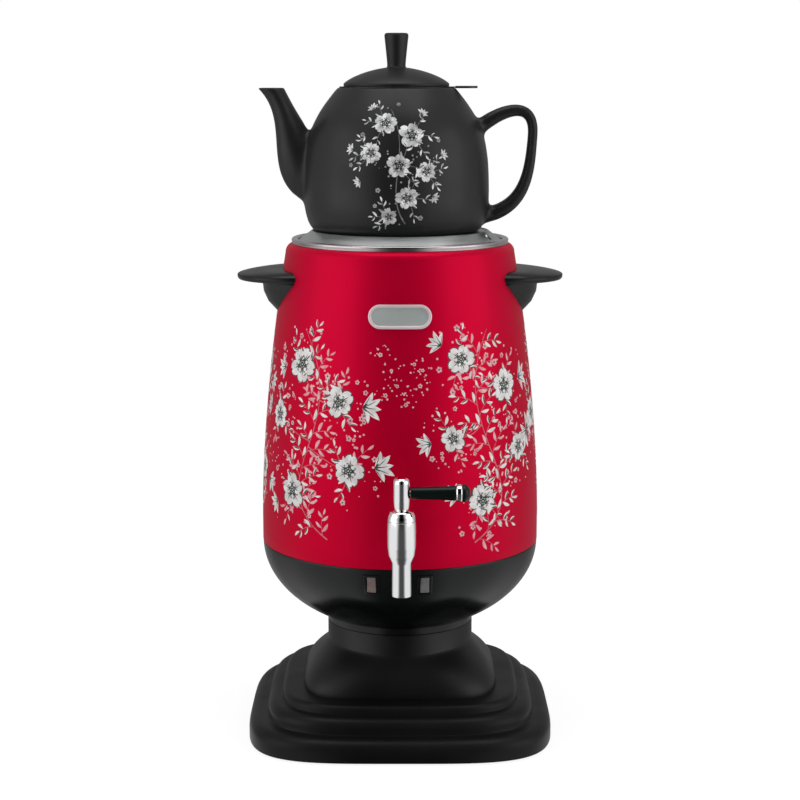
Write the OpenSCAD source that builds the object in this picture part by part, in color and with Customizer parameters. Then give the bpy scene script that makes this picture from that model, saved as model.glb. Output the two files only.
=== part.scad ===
// Electric samovar: stepped foot, pedestal, heated water tank in a painted casing,
// tap with a turning plug, two rocker switches, and a teapot that stands on the tank lid.
// The origin is on the floor at the centre of the base. The tap points to -Y.

/* [Base] */
// Half of the base's width over its lowest step
base_half_w = 104.5; // [100:0.1:109]
// Depth of the base from front to back as a part of its width
base_depth_ratio = 0.95; // [0.92:0.01:1]
// Squareness of the base outline, 2 is a circle
base_squareness = 4.1; // [3.5:0.1:5]
// Gap between the housing's edge and the floor
skirt_gap = 0.8; // [0.5:0.1:1.5]
// Height of the lowest step
step_1_h = 15.2; // [13:0.1:18]
// Height of the middle step
step_2_h = 11; // [9:0.1:13]
// Height of the top step
step_3_h = 6; // [5:0.1:9]
// Tread of the lowest step
tread_1 = 13; // [11:0.1:15]
// Tread of the middle step
tread_2 = 10; // [8:0.1:12]
// Tread of the top step, up to the pedestal
tread_3 = 14.5; // [12:0.1:17]
// Rounding of the lowest step's edge
step_1_round = 8; // [6:0.1:10]
// Rounding of the middle step's edge
step_2_round = 7; // [5:0.1:8]
// Rounding of the top step's edge
step_3_round = 4; // [3.2:0.1:4.8]
// Wall of the moulded base and pedestal
moulded_wall = 2.8; // [2:0.1:3.4]
// Radius of the opening in the top of the base
base_opening_r = 55; // [48:0.5:57]
// Thickness of the bottom cover
cover_t = 2; // [1.5:0.1:3]
// Width of the foot ring's band
foot_ring_w = 3.8; // [3:0.1:4]
// Height of the foot ring
foot_ring_h = 2; // [1.5:0.1:3]
// Radius of a cover screw's pillar
pillar_r = 4.5; // [3.5:0.1:5]
// Radius of a cover screw's shank
cover_screw_r = 1.7; // [1.2:0.1:2]
// Radius of a cover screw's head
cover_screw_head_r = 3.2; // [2.6:0.1:3.6]
// Length of a cover screw's shank
cover_screw_l = 9; // [7:0.5:10]
// Height of a screw's head
screw_head_h = 1.8; // [1.4:0.1:2]

/* [Pedestal and tie rod] */
// Height of the pedestal
pedestal_h = 41; // [34:0.5:52]
// Outer radius of the neck
neck_r = 50.5; // [44:0.5:56]
// Height of the neck's straight part
neck_h = 13; // [8:0.5:18]
// Radius of the tie rod
rod_r = 3; // [2.5:0.1:4]
// Clearance round the tie rod
rod_clearance = 0.4; // [0.2:0.05:0.8]
// Thickness of the clamp plate under the base's top
clamp_plate_t = 2; // [1.5:0.1:3]
// Overlap of the clamp plate beyond the opening
clamp_overlap = 5; // [3:0.5:8]

/* [Bowl] */
// Height of the bowl from the neck to the seam
bowl_h = 57.7; // [50:0.1:66]
// Height of the collar where the bowl meets the neck
bowl_collar_h = 4.7; // [3:0.1:7]
// Wall of the bowl
bowl_wall = 2.6; // [2:0.1:3.2]
// Height of the rim that goes up inside the casing
bowl_rim_h = 3.1; // [2:0.1:5]
// Thickness of the plate that carries the tank
support_plate_t = 1.2; // [0.8:0.1:2]
// Width of the plate's shelf under the tank
support_plate_w = 26; // [23:0.5:27]

/* [Casing and tank] */
// Largest radius of the casing
casing_bottom_r = 95.4; // [90:0.1:102]
// Radius of the casing under its top shoulder
casing_top_r = 77.9; // [75:0.1:82]
// Height of the casing above the seam
casing_h = 205.5; // [170:0.1:240]
// Straight part of the casing above the seam
casing_straight_h = 18; // [10:0.5:30]
// How late the casing draws in, 1 is a plain cone
casing_taper_power = 1.7; // [1.4:0.05:2]
// Radius of the casing's top shoulder
shoulder_r = 6; // [4:0.1:7]
// Sheet thickness of the casing
casing_t = 1; // [0.7:0.1:1.2]
// Air gap between casing and tank
tank_gap = 8.4; // [7.5:0.1:9.5]
// Sheet thickness of the tank
tank_t = 0.8; // [0.5:0.1:1]
// Radius of the tank's bottom corner
tank_corner_r = 12; // [8:0.5:14]
// Width of the tank's turned-out rim
tank_rim_w = 4; // [3:0.1:4.5]
// Height of the top ring
top_ring_h = 2.6; // [2:0.1:4]
// Overhang of the top ring over the tank's rim
top_ring_over = 1.3; // [1:0.1:1.6]

/* [Tank lid] */
// Sheet thickness of the lid
lid_t = 0.9; // [0.6:0.1:1.2]
// Clearance of the lid in the top ring
lid_clearance = 0.5; // [0.3:0.1:1]
// Rise of the lid's cone
lid_rise = 6.7; // [5:0.1:10]
// Depth of the seat for the teapot
seat_depth = 1; // [0.6:0.1:2]
// Clearance round the teapot in its seat
seat_clearance = 4; // [3:0.1:4.6]
// Radius of the opening under the teapot
lid_opening_r = 24; // [18:0.5:30]
// Height of the collar that centres the lid in the tank
lid_collar_h = 6; // [4:0.5:10]
// Radius of a steam vent
vent_r = 2.2; // [1.5:0.1:2.4]
// Turn of the first steam vent from +X
vent_turn = -23; // [-40:1:-10]

/* [Tap] */
// Height of the tap's shank above the floor
tap_z = 163; // [160:0.5:185]
// Sideways place of the tap
tap_x = 1; // [-3:0.5:3]
// Distance from the casing to the tap's axis
tap_reach = 29.7; // [26:0.1:36]
// Drop from the shank's axis to the outlet
tap_drop = 40.2; // [34:0.1:46]
// Outer radius of the spout
spout_r = 6.3; // [6:0.1:7]
// Radius of the outlet bore
outlet_r = 4.9; // [4:0.1:5.2]
// Largest radius of the barrel
barrel_r = 9.5; // [9:0.1:11]
// Length of the barrel below the shank's axis
barrel_low = 17.6; // [16.5:0.1:20]
// Length of the barrel above the shank's axis
barrel_high = 9; // [8.5:0.1:12]
// Height of the cap
cap_h = 7; // [6:0.1:9]
// Radius of the valve plug
plug_r = 6; // [5.6:0.1:6.4]
// Radius of the plug's stem
stem_r = 4.2; // [3.6:0.1:4.6]
// Running clearance of the plug
plug_clearance = 0.05; // [0.02:0.01:0.09]
// Radius of the water way
waterway_r = 3; // [2.4:0.1:3.4]
// Depth of the valve bore below the shank's axis
valve_depth = 12; // [11:0.1:14]
// Radius of the plug's head
head_r = 5.3; // [5:0.1:6]
// Height of the plug's head
head_h = 20.4; // [18:0.1:24]
// Outer radius of the shank
shank_r = 6.5; // [6:0.1:7]
// Radius of the flange, gaskets and nut's seat
flange_r = 9.2; // [9:0.1:11]
// Thickness of the flange
flange_t = 2.2; // [1.5:0.1:3]
// Thickness of each gasket at the flat side
gasket_t = 2; // [1.5:0.1:3]
// Width over the flats of the tap nut
tap_nut_af = 19; // [17:0.5:22]
// Thickness of the tap nut
tap_nut_t = 5; // [4:0.1:7]

/* [Lever] */
// Height of the lever above the shank's axis
lever_z = 26.7; // [25:0.1:30]
// Length of the black grip
grip_l = 28.8; // [22:0.1:36]
// Radius of the grip at the head
grip_r = 3.8; // [3.3:0.1:4.2]
// Radius of the grip at the ring
grip_end_r = 4.8; // [4.3:0.1:5.4]
// Width of the ring
lever_ring_w = 4; // [3:0.1:6]
// Radius of the ring
lever_ring_r = 5.7; // [5.3:0.1:7]
// Length of the end knob
knob_l = 5.2; // [4:0.1:7]
// Radius of the steel rod in the lever
lever_rod_r = 1.8; // [1.4:0.1:2.2]

/* [Side handles] */
// Distance from the axis to a handle's tip
handle_reach = 111; // [107:0.1:116]
// Height of the handle's wing above the floor
handle_z = 315; // [308:0.5:318]
// Half of the wing's length from front to back
wing_half_l = 41; // [36:0.5:46]
// Thickness of the wing
wing_t = 5.2; // [4.4:0.1:7]
// Rise of the wing towards the casing
wing_rise = 2.2; // [1:0.1:4]
// Edge rounding of the wing
wing_edge = 1.8; // [1:0.1:1.9]
// Depth of the bracket below the wing
bracket_depth = 22; // [18:0.5:26]
// Reach of the bracket out from the casing
bracket_reach = 13.5; // [11:0.1:16]
// Radius of a handle screw
handle_screw_r = 2; // [1.5:0.1:2.4]
// Length of a handle screw's shank
handle_screw_l = 8; // [6:0.5:9]
// Distance between the two screws of a handle
handle_screw_pitch = 9; // [8.5:0.1:11]

/* [Badge] */
// Width of the badge
badge_w = 41; // [34:0.5:48]
// Height of the badge
badge_h = 15.6; // [12:0.1:18]
// Thickness of the badge
badge_t = 1.6; // [1.2:0.1:2.4]
// Width of the badge's raised rim
badge_rim = 2; // [1.5:0.1:3]
// Height of the badge's centre above the floor
badge_z = 296.3; // [285:0.1:305]

/* [Switches] */
// Half of the distance between the switches along the bowl
switch_half_pitch = 17.4; // [16.5:0.1:22]
// Sideways place of the pair of switches
switch_x = -1.2; // [-3:0.1:3]
// Height of the switches above the floor
switch_z = 120.9; // [120:0.1:122.5]
// Width of a switch bezel
bezel_w = 10.2; // [10:0.1:12]
// Height of a switch bezel
bezel_h = 14.2; // [14:0.1:15]
// Thickness of a switch bezel
bezel_t = 1.4; // [1:0.1:2]
// Depth of the pocket that seats the bezel
pocket_depth = 0.9; // [0.8:0.05:1.1]
// Depth of a switch body
switch_depth = 14; // [12:0.5:16]
// Width of a rocker
rocker_w = 5.8; // [5.4:0.1:6.4]
// Height of a rocker
rocker_h = 10; // [9.4:0.1:10.4]
// Clearance round a rocker
rocker_clearance = 0.35; // [0.3:0.05:0.45]
// Tilt of a rocker from its middle to either stop
rocker_tilt = 9; // [7:0.5:11]
// Radius of a rocker's trunnion
trunnion_r = 1.1; // [0.9:0.1:1.2]
// Running clearance of a trunnion
trunnion_clearance = 0.05; // [0.02:0.01:0.09]

/* [Heating and wiring] */
// Radius of the heating plate
heater_r = 66; // [58:0.5:70]
// Thickness of the heating plate
heater_t = 4.5; // [3:0.1:6]
// Radius of the heating element's ring
element_ring_r = 50; // [46:0.5:56]
// Radius of the heating element's tube
element_r = 4; // [3:0.1:4.5]
// Thickness of the element bracket
bracket_bar_t = 2; // [1.5:0.1:3]
// Radius of the thermostat and the cut-out
thermostat_r = 8; // [7:0.1:9]
// Distance of the thermostat and the cut-out from the axis
thermostat_offset = 28; // [24:0.5:32]
// Radius of an insulated wire
wire_r = 1.3; // [1:0.1:1.6]

/* [Power inlet] */
// Height of the inlet above the floor
inlet_z = 106; // [103:0.1:108]
// Width of the inlet's flange
inlet_flange_w = 50; // [48:0.1:54]
// Height of the inlet's flange
inlet_flange_h = 22.5; // [21:0.1:24]
// Thickness of the inlet's flange
inlet_flange_t = 3; // [2:0.1:4]
// Width of the socket inside the inlet
socket_w = 24.4; // [24:0.1:25]
// Height of the socket inside the inlet
socket_h = 16.4; // [16:0.1:17]
// Depth of the socket
socket_depth = 16; // [14:0.1:18]
// Wall round the socket
socket_wall = 1.6; // [1:0.1:2]
// Distance between the inlet's screws
inlet_screw_pitch = 40; // [38:0.1:42]
// Radius of an inlet screw
inlet_screw_r = 1.5; // [1.2:0.1:1.9]
// Length of an inlet screw's shank
inlet_screw_l = 8; // [6:0.5:9]
// How far the moulded boss stands proud of the bowl
boss_proud = 1.5; // [1:0.1:3]

/* [Teapot] */
// Sideways place of the teapot on its seat
pot_x = -2.4; // [-2.6:0.1:2.6]
// Radius of the teapot's foot
pot_foot_r = 54; // [50:0.1:55]
// Largest radius of the teapot
pot_r = 62.7; // [58:0.1:68]
// Height of the teapot's widest place above its foot
pot_belly_h = 22.4; // [18:0.1:28]
// Height of the teapot's rim above its foot
pot_h = 96.4; // [88:0.1:104]
// Outer radius of the teapot's rim
pot_rim_r = 39.5; // [38.5:0.1:42]
// Wall of the teapot
pot_wall = 4; // [3:0.1:4.4]
// Reach of the spout's lip from the teapot's axis
pot_spout_reach = 93.6; // [88:0.1:99]
// Width of the spout's mouth
pot_spout_mouth = 18; // [17:0.1:20]
// Wall of the spout
pot_spout_wall = 3; // [2.5:0.1:3.5]
// Reach of the handle from the teapot's axis
pot_handle_reach = 95.3; // [91:0.1:103]
// Thickness of the handle in its own plane, at its outer side
pot_handle_t = 6.6; // [6:0.1:9]
// Extra thickness of the handle where it meets the body
pot_handle_flare = 4.4; // [2:0.1:6]
// Width of the handle across its plane
pot_handle_w = 10; // [8:0.1:13]

/* [Strainer and teapot lid] */
// Thickness of the strainer's sheet
strainer_t = 0.8; // [0.5:0.1:1.2]
// Radius of the strainer's basket at its mouth
basket_r = 33.5; // [32:0.1:34]
// Radius of the basket at its floor
basket_floor_r = 28; // [24:0.1:30]
// Depth of the basket
basket_depth = 46; // [36:0.5:56]
// Reach of the strainer's tab from the teapot's axis
tab_reach = 54.6; // [50:0.1:60]
// Width of the tab
tab_w = 14; // [10:0.5:18]
// Radius of the teapot lid's rim
pot_lid_r = 35.6; // [34.5:0.1:37.4]
// Height of the lid's dome above the rim
pot_lid_dome_h = 10.4; // [8:0.1:14]
// Height of the lid's straight edge
pot_lid_edge_h = 2.2; // [1.5:0.1:3]
// Radius of the knob's neck
pot_knob_neck_r = 6.2; // [5.2:0.1:7]
// Radius of the knob's top
pot_knob_r = 8.1; // [7:0.1:9]
// Height of the knob
pot_knob_h = 22.8; // [18:0.1:27]
// Depth of the collar under the lid
pot_lid_collar_h = 8; // [5:0.1:12]
// Clearance of the collar in the basket
pot_lid_clearance = 0.5; // [0.3:0.1:1]

/* [Hidden] */

$fn = 96;
fine = 0.01;

black = [0.09, 0.09, 0.1];
satin_black = [0.16, 0.16, 0.17];
red = [0.75, 0.02, 0.15];
chrome = [0.85, 0.86, 0.88];
steel = [0.72, 0.73, 0.75];
rubber = [0.2, 0.2, 0.2];
silicone = [0.85, 0.85, 0.82];

// Heights of the stack, from the floor up
step_1_z = skirt_gap + step_1_h;
step_2_z = step_1_z + step_2_h;
step_3_z = step_2_z + step_3_h;
neck_z = step_3_z + pedestal_h;
seam_z = neck_z + bowl_h;
plate_z = seam_z + bowl_rim_h;
tank_z = plate_z + support_plate_t;
widest_z = seam_z + casing_straight_h;
casing_z = seam_z + casing_h;
shoulder_z = casing_z - shoulder_r;
rim_z = casing_z + tank_t;
seat_rim_z = rim_z + lid_t + lid_rise;
seat_z = seat_rim_z - seat_depth;
pot_rim_z = seat_z + pot_h;
pot_lid_z = pot_rim_z + strainer_t;

// Half widths of the steps and the pedestal
step_2_half_w = base_half_w - tread_1;
step_3_half_w = step_2_half_w - tread_2;
pedestal_half_w = step_3_half_w - tread_3;

function squareness_factor(turn, squareness) =
    pow(pow(abs(cos(turn)), squareness) + pow(abs(sin(turn)), squareness), -1 / squareness);
corner_factor = squareness_factor(45, base_squareness);

function smooth_step(t) = t * t * (3 - 2 * t);
function mix(a, b, t) = a + (b - a) * t;
function bezier(p, t) =
    pow(1 - t, 3) * p[0] + 3 * pow(1 - t, 2) * t * p[1]
    + 3 * (1 - t) * t * t * p[2] + pow(t, 3) * p[3];
function arc(centre, r, from, to, n) =
    [for (i = [0 : n]) centre + r * [cos(mix(from, to, i / n)), sin(mix(from, to, i / n))]];

// The bowl is part of an ellipse, from the seam down to the neck
bowl_r = casing_bottom_r - 0.2;
bowl_half_h = (bowl_h - bowl_collar_h) / sqrt(1 - pow(neck_r / bowl_r, 2));
bowl_rim_r = casing_bottom_r - casing_t - 0.3;
bowl_inner_r = bowl_rim_r - bowl_wall;
function bowl_radius(z) = bowl_r * sqrt(1 - pow((seam_z - z) / bowl_half_h, 2));
function bowl_tilt(z) = atan(bowl_r * bowl_r * (seam_z - z) / pow(bowl_half_h, 2) / bowl_radius(z));

// The casing draws in towards its top
function casing_rise(z) = max(0, z - widest_z) / (shoulder_z - widest_z);
function casing_radius(z) =
    casing_bottom_r - (casing_bottom_r - casing_top_r) * pow(casing_rise(z), casing_taper_power);
function casing_tilt(z) =
    atan((casing_bottom_r - casing_top_r) * casing_taper_power
        * pow(casing_rise(z), casing_taper_power - 1) / (shoulder_z - widest_z));
function tank_radius(z) = casing_radius(min(z, shoulder_z)) - casing_t - tank_gap;
casing_stations = 14;
casing_zs = [for (i = [0 : casing_stations]) mix(widest_z, shoulder_z, i / casing_stations)];

tank_top_r = tank_radius(shoulder_z);
ring_inner_r = tank_top_r + tank_rim_w - 3;
ring_outer_r = tank_top_r + tank_rim_w + top_ring_over;
lid_r = ring_inner_r - lid_clearance;

// ---------------------------------------------------------------- shared shapes

// A closed outline of [half width, z, squareness, depth ratio] points, turned along a rounded square
module square_turned(profile, sides = 60) {
    n = len(profile);
    turns = [for (i = [0 : sides - 1]) 360 * i / sides];
    points = [
        for (a = turns) for (p = profile)
            let (r = p[0] * squareness_factor(a, p[2])) [r * cos(a), r * p[3] * sin(a), p[1]]
    ];
    faces = [
        for (i = [0 : sides - 1]) for (j = [0 : n - 1])
            let (i2 = (i + 1) % sides, j2 = (j + 1) % n)
                [i * n + j, i * n + j2, i2 * n + j2, i2 * n + j]
    ];
    polyhedron(points, faces, convexity = 6);
}

function rounded_square(half_w, sides = 72) =
    [for (i = [0 : sides - 1]) let (a = 360 * i / sides)
        half_w * squareness_factor(a, base_squareness) * [cos(a), base_depth_ratio * sin(a)]];

// A body lofted between two edge curves in the XZ plane, with elliptical sections
module lofted(edge_a, edge_b, depths, sides = 20) {
    n = len(edge_a);
    points = [
        for (i = [0 : n - 1]) for (k = [0 : sides - 1])
            let (
                a = 360 * k / sides,
                centre = (edge_a[i] + edge_b[i]) / 2,
                half = (edge_b[i] - edge_a[i]) / 2,
                p = centre + cos(a) * half
            )
                [p[0], sin(a) * depths[i], p[1]]
    ];
    sides_faces = [
        for (i = [0 : n - 2]) for (k = [0 : sides - 1])
            let (k2 = (k + 1) % sides)
                [i * sides + k, i * sides + k2, (i + 1) * sides + k2, (i + 1) * sides + k]
    ];
    start = [[for (k = [sides - 1 : -1 : 0]) k]];
    end = [[for (k = [0 : sides - 1]) (n - 1) * sides + k]];
    polyhedron(points, concat(start, sides_faces, end), convexity = 6);
}

module ring(r_out, r_in, h) {
    difference() {
        cylinder(r = r_out, h = h);
        translate([0, 0, -1]) cylinder(r = r_in, h = h + 2);
    }
}

module hex_nut(across_flats, h, bore_r) {
    difference() {
        cylinder(r = across_flats / sqrt(3), h = h, $fn = 6);
        translate([0, 0, -1]) cylinder(r = bore_r, h = h + 2);
    }
}

// A screw along +Z, its head from -head_h to 0
module screw(head_r, head_h, r, l) {
    translate([0, 0, -head_h]) cylinder(r = head_r, h = head_h);
    translate([0, 0, -fine]) cylinder(r = r, h = l + fine);
}

module stadium(w, h) {
    translate([-(w - h) / 2, 0]) circle(h / 2);
    translate([(w - h) / 2, 0]) circle(h / 2);
    square([w - h, h], center = true);
}

module four_corners(distance) {
    for (x = [-1, 1]) for (y = [-1, 1])
        translate([x * distance * cos(45), y * distance * base_depth_ratio * sin(45), 0]) children();
}

// A tube with flat ends along a path of points
module wire(points, r, sides = 10) {
    n = len(points);
    side_hint = [0.9, 0.1, 0.43];
    steps = [for (i = [0 : n - 2]) (points[i + 1] - points[i]) / norm(points[i + 1] - points[i])];
    dirs = [for (i = [0 : n - 1]) steps[max(i - 1, 0)] + steps[min(i, n - 2)]];
    rings = [
        for (i = [0 : n - 1]) for (k = [0 : sides - 1])
            let (
                u = cross(dirs[i], side_hint) / norm(cross(dirs[i], side_hint)),
                v = cross(dirs[i], u) / norm(dirs[i]),
                a = 360 * k / sides
            )
                points[i] + r * (cos(a) * u + sin(a) * v)
    ];
    faces = [
        for (i = [0 : n - 2]) for (k = [0 : sides - 1])
            let (k2 = (k + 1) % sides)
                [i * sides + k, (i + 1) * sides + k, (i + 1) * sides + k2, i * sides + k2]
    ];
    start = [[for (k = [0 : sides - 1]) k]];
    end = [[for (k = [sides - 1 : -1 : 0]) (n - 1) * sides + k]];
    polyhedron(rings, concat(start, faces, end), convexity = 4);
}

// Children drawn with +Z along the bowl's outward normal and +Y up its wall
module on_bowl(turn, z) {
    rotate([0, 0, turn])
        translate([0, -bowl_radius(z), z])
            rotate([90 + bowl_tilt(z), 0, 0])
                children();
}

// ---------------------------------------------------------------- base

pillar_d = (step_2_half_w - moulded_wall) * corner_factor + pillar_r + 1;
cover_z = foot_ring_h;
base_inner_half_w = base_half_w - moulded_wall;

// The rounded edge of one step, from its side to its top
function step_edge(half_w, z, r, inset) =
    [for (p = arc([half_w - r, z - r], r - inset, 0, 90, 4)) [p[0], p[1], base_squareness, base_depth_ratio]];
function reversed(list) = [for (i = [len(list) - 1 : -1 : 0]) list[i]];

module foot_ring() {
    outer = base_inner_half_w - 1.5;
    color(rubber) difference() {
        linear_extrude(foot_ring_h) polygon(rounded_square(outer));
        translate([0, 0, -1]) linear_extrude(foot_ring_h + 2) polygon(rounded_square(outer - foot_ring_w));
    }
}

module bottom_cover() {
    vent_l = 60;
    vent_pitch = 10;
    color(satin_black) difference() {
        translate([0, 0, cover_z]) linear_extrude(cover_t) polygon(rounded_square(base_inner_half_w - 0.4));
        four_corners(pillar_d) {
            translate([0, 0, cover_z - 1]) cylinder(r = cover_screw_head_r + 0.3, h = 2);
            translate([0, 0, cover_z - 1]) cylinder(r = cover_screw_r + 0.2, h = cover_t + 2);
        }
        for (i = [-2 : 2])
            translate([0, i * vent_pitch, cover_z - 1])
                linear_extrude(cover_t + 2) stadium(vent_l, 3.4);
    }
}

module cover_screws() {
    color(steel) four_corners(pillar_d)
        translate([0, 0, cover_z + 1]) screw(cover_screw_head_r, screw_head_h, cover_screw_r, cover_screw_l);
}

module base_housing() {
    n = base_squareness;
    k = base_depth_ratio;
    outline = concat(
        [[base_half_w, skirt_gap, n, k]],
        step_edge(base_half_w, step_1_z, step_1_round, 0),
        [[step_2_half_w, step_1_z, n, k]],
        step_edge(step_2_half_w, step_2_z, step_2_round, 0),
        [[step_3_half_w, step_2_z, n, k]],
        step_edge(step_3_half_w, step_3_z, step_3_round, 0),
        [[base_opening_r, step_3_z, 2, 1], [base_opening_r, step_3_z - moulded_wall, 2, 1]],
        reversed(step_edge(step_3_half_w, step_3_z, step_3_round, moulded_wall)),
        [[step_3_half_w - moulded_wall, step_2_z - moulded_wall, n, k]],
        reversed(step_edge(step_2_half_w, step_2_z, step_2_round, moulded_wall)),
        [[step_2_half_w - moulded_wall, step_1_z - moulded_wall, n, k]],
        reversed(step_edge(base_half_w, step_1_z, step_1_round, moulded_wall)),
        [[base_inner_half_w, skirt_gap, n, k]]
    );
    pillar_z = cover_z + cover_t;
    pillar_h = step_1_z - moulded_wall - pillar_z;
    color(black) difference() {
        union() {
            square_turned(outline);
            four_corners(pillar_d) translate([0, 0, pillar_z]) cylinder(r = pillar_r, h = pillar_h + 0.5);
        }
        four_corners(pillar_d) translate([0, 0, pillar_z - 1]) cylinder(r = cover_screw_r, h = pillar_h);
    }
}

// ---------------------------------------------------------------- pedestal and tie rod

module pedestal() {
    stations = 10;
    bell_z = neck_z - neck_h;
    // From the top step (t = 0) up to the round neck (t = 1)
    function bell(t, inset) =
        let (blend = smooth_step(pow(1 - t, 0.75)))
            [
                mix(neck_r, pedestal_half_w, blend) - inset,
                mix(step_3_z, bell_z, t),
                mix(2, base_squareness, blend),
                mix(1, base_depth_ratio, blend)
            ];
    flange_in_r = neck_r - moulded_wall - 12;
    outline = concat(
        [for (i = [0 : stations]) bell(i / stations, 0)],
        [
            [neck_r, neck_z, 2, 1],
            [flange_in_r, neck_z, 2, 1],
            [flange_in_r, neck_z - moulded_wall, 2, 1],
            [neck_r - moulded_wall, neck_z - moulded_wall, 2, 1]
        ],
        [for (i = [stations : -1 : 0]) bell(i / stations, moulded_wall)]
    );
    color(black) square_turned(outline);
}

rod_low_z = step_3_z - moulded_wall - clamp_plate_t - 9;
nut_af = 10;
nut_t = 5;

module clamp_plate() {
    color(steel) translate([0, 0, step_3_z - moulded_wall - clamp_plate_t])
        ring(base_opening_r + clamp_overlap, rod_r + rod_clearance, clamp_plate_t);
}

module tie_rod() {
    color(steel) translate([0, 0, rod_low_z]) cylinder(r = rod_r, h = tank_z - rod_low_z);
}

module tie_rod_nuts() {
    under_plate = step_3_z - moulded_wall - clamp_plate_t - nut_t;
    under_bracket = bracket_bar_z - nut_t;
    color(steel) for (z = [under_plate, under_bracket])
        translate([0, 0, z]) hex_nut(nut_af, nut_t, rod_r);
}

// ---------------------------------------------------------------- bowl

bowl_floor_t = bowl_wall;

module bowl_outer() {
    stations = 16;
    low = seam_z - (bowl_h - bowl_collar_h);
    wall = [for (i = [0 : stations]) let (z = seam_z - (seam_z - low) * pow(1 - i / stations, 1.0))
        [bowl_radius(z), z]];
    rotate_extrude() polygon(concat(
        [[0, neck_z], [neck_r, neck_z]],
        wall,
        [[bowl_rim_r, seam_z], [bowl_rim_r, plate_z], [0, plate_z]]
    ));
}

module bowl_cavity() {
    stations = 16;
    floor_r = neck_r - bowl_wall;
    half_h = bowl_half_h - bowl_wall;
    low = seam_z - half_h * sqrt(1 - pow(floor_r / bowl_inner_r, 2));
    wall = [for (i = [0 : stations]) let (z = mix(low, seam_z, i / stations))
        [bowl_inner_r * sqrt(1 - pow((seam_z - z) / half_h, 2)), z]];
    rotate_extrude() polygon(concat(
        [[0, neck_z + bowl_floor_t], [floor_r, neck_z + bowl_floor_t]],
        wall,
        [[bowl_inner_r, plate_z + 1], [0, plate_z + 1]]
    ));
}

module inlet_boss() {
    w = inlet_flange_w + 4;
    h = inlet_flange_h + 4;
    corner = 4;
    on_bowl(180, inlet_z)
        translate([0, 0, boss_proud - 12])
            linear_extrude(12) {
                square([w - 2 * corner, h], center = true);
                square([w, h - 2 * corner], center = true);
                for (x = [-1, 1]) for (y = [-1, 1])
                    translate([x * (w / 2 - corner), y * (h / 2 - corner)]) circle(corner);
            }
}

module lower_bowl() {
    socket_hole_w = socket_w + 2 * socket_wall + 0.4;
    socket_hole_h = socket_h + 2 * socket_wall + 0.4;
    color(black) difference() {
        union() {
            bowl_outer();
            inlet_boss();
        }
        bowl_cavity();
        translate([0, 0, neck_z - 1]) cylinder(r = rod_r + rod_clearance, h = bowl_floor_t + 2);
        for (side = [-1, 1]) on_bowl(switch_turn(side), switch_z) {
            translate([-bezel_w / 2 - 0.1, -bezel_h / 2 - 0.1, -pocket_depth])
                cube([bezel_w + 0.2, bezel_h + 0.2, 10]);
            translate([-switch_body_w / 2 - 0.1, -switch_body_h / 2 - 0.1, -switch_depth - 2])
                cube([switch_body_w + 0.2, switch_body_h + 0.2, switch_depth + 4]);
        }
        on_bowl(180, inlet_z) {
            translate([-socket_hole_w / 2, -socket_hole_h / 2, -20])
                cube([socket_hole_w, socket_hole_h, 30]);
            for (x = [-1, 1]) translate([x * inlet_screw_pitch / 2, 0, -8])
                cylinder(r = inlet_screw_r, h = 12);
        }
    }
}

module tank_support_plate() {
    outer = bowl_rim_r;
    color(steel) translate([0, 0, plate_z]) ring(outer, outer - support_plate_w, support_plate_t);
}

// ---------------------------------------------------------------- casing and tank

module casing_solid() {
    rotate_extrude() polygon(concat(
        [[0, seam_z], [casing_bottom_r, seam_z]],
        [for (z = casing_zs) [casing_radius(z), z]],
        arc([casing_top_r - shoulder_r, shoulder_z], shoulder_r, 10, 90, 5),
        [[0, casing_z]]
    ));
}

module tap_hole(extra = 0.3) {
    translate([tap_x, 0, tap_z]) rotate([90, 0, 0]) cylinder(r = shank_r + extra, h = casing_bottom_r + 40);
}

module outer_casing() {
    opening_r = tank_top_r + 0.6;
    inner_r = casing_top_r - casing_t;
    color(red) difference() {
        casing_solid();
        rotate_extrude() polygon(concat(
            [[0, seam_z - 1], [casing_bottom_r - casing_t, seam_z - 1]],
            [for (z = casing_zs) [casing_radius(z) - casing_t, z]],
            arc([casing_top_r - shoulder_r, shoulder_z], shoulder_r - casing_t, 10, 90, 5),
            [[opening_r, casing_z - casing_t], [opening_r, casing_z + 1], [0, casing_z + 1]]
        ));
        tap_hole();
        for (side = [0, 180]) at_handle_screws(side)
            translate([0, 0, -6]) cylinder(r = handle_screw_r + 0.2, h = 12);
    }
}

module tank_profile(inset, floor_z, top_z) {
    corner = tank_corner_r - inset;
    centre_r = tank_radius(tank_z + tank_corner_r) - tank_corner_r;
    rotate_extrude() polygon(concat(
        [[0, floor_z]],
        arc([centre_r, floor_z + corner], corner, -90, 0, 5),
        [for (z = casing_zs) [tank_radius(z) - inset, z]],
        [[tank_top_r - inset, top_z], [0, top_z]]
    ));
}

module water_tank() {
    color(steel) difference() {
        union() {
            tank_profile(0, tank_z, rim_z);
            translate([0, 0, casing_z]) cylinder(r = tank_top_r + tank_rim_w, h = tank_t);
        }
        tank_profile(tank_t, tank_z + tank_t, rim_z + 1);
        tap_hole();
    }
}

module top_ring() {
    inner = ring_inner_r;
    outer = ring_outer_r;
    top = rim_z + top_ring_h;
    bead = 1.4;
    color(chrome) rotate_extrude() polygon(concat(
        [
            [inner, rim_z],
            [tank_top_r + tank_rim_w + 0.1, rim_z],
            [tank_top_r + tank_rim_w + 0.1, casing_z],
            [outer - 0.3, casing_z]
        ],
        arc([outer - bead, top - bead], bead, 0, 90, 5),
        [[inner + 0.6, top - 0.4], [inner, top - 1]]
    ));
}

// ---------------------------------------------------------------- heating

heater_z = tank_z - heater_t;
element_z = heater_z - element_r;
bracket_bar_z = heater_z - 2 * element_r - bracket_bar_t;
thermostat_h = 7.6;

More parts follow.
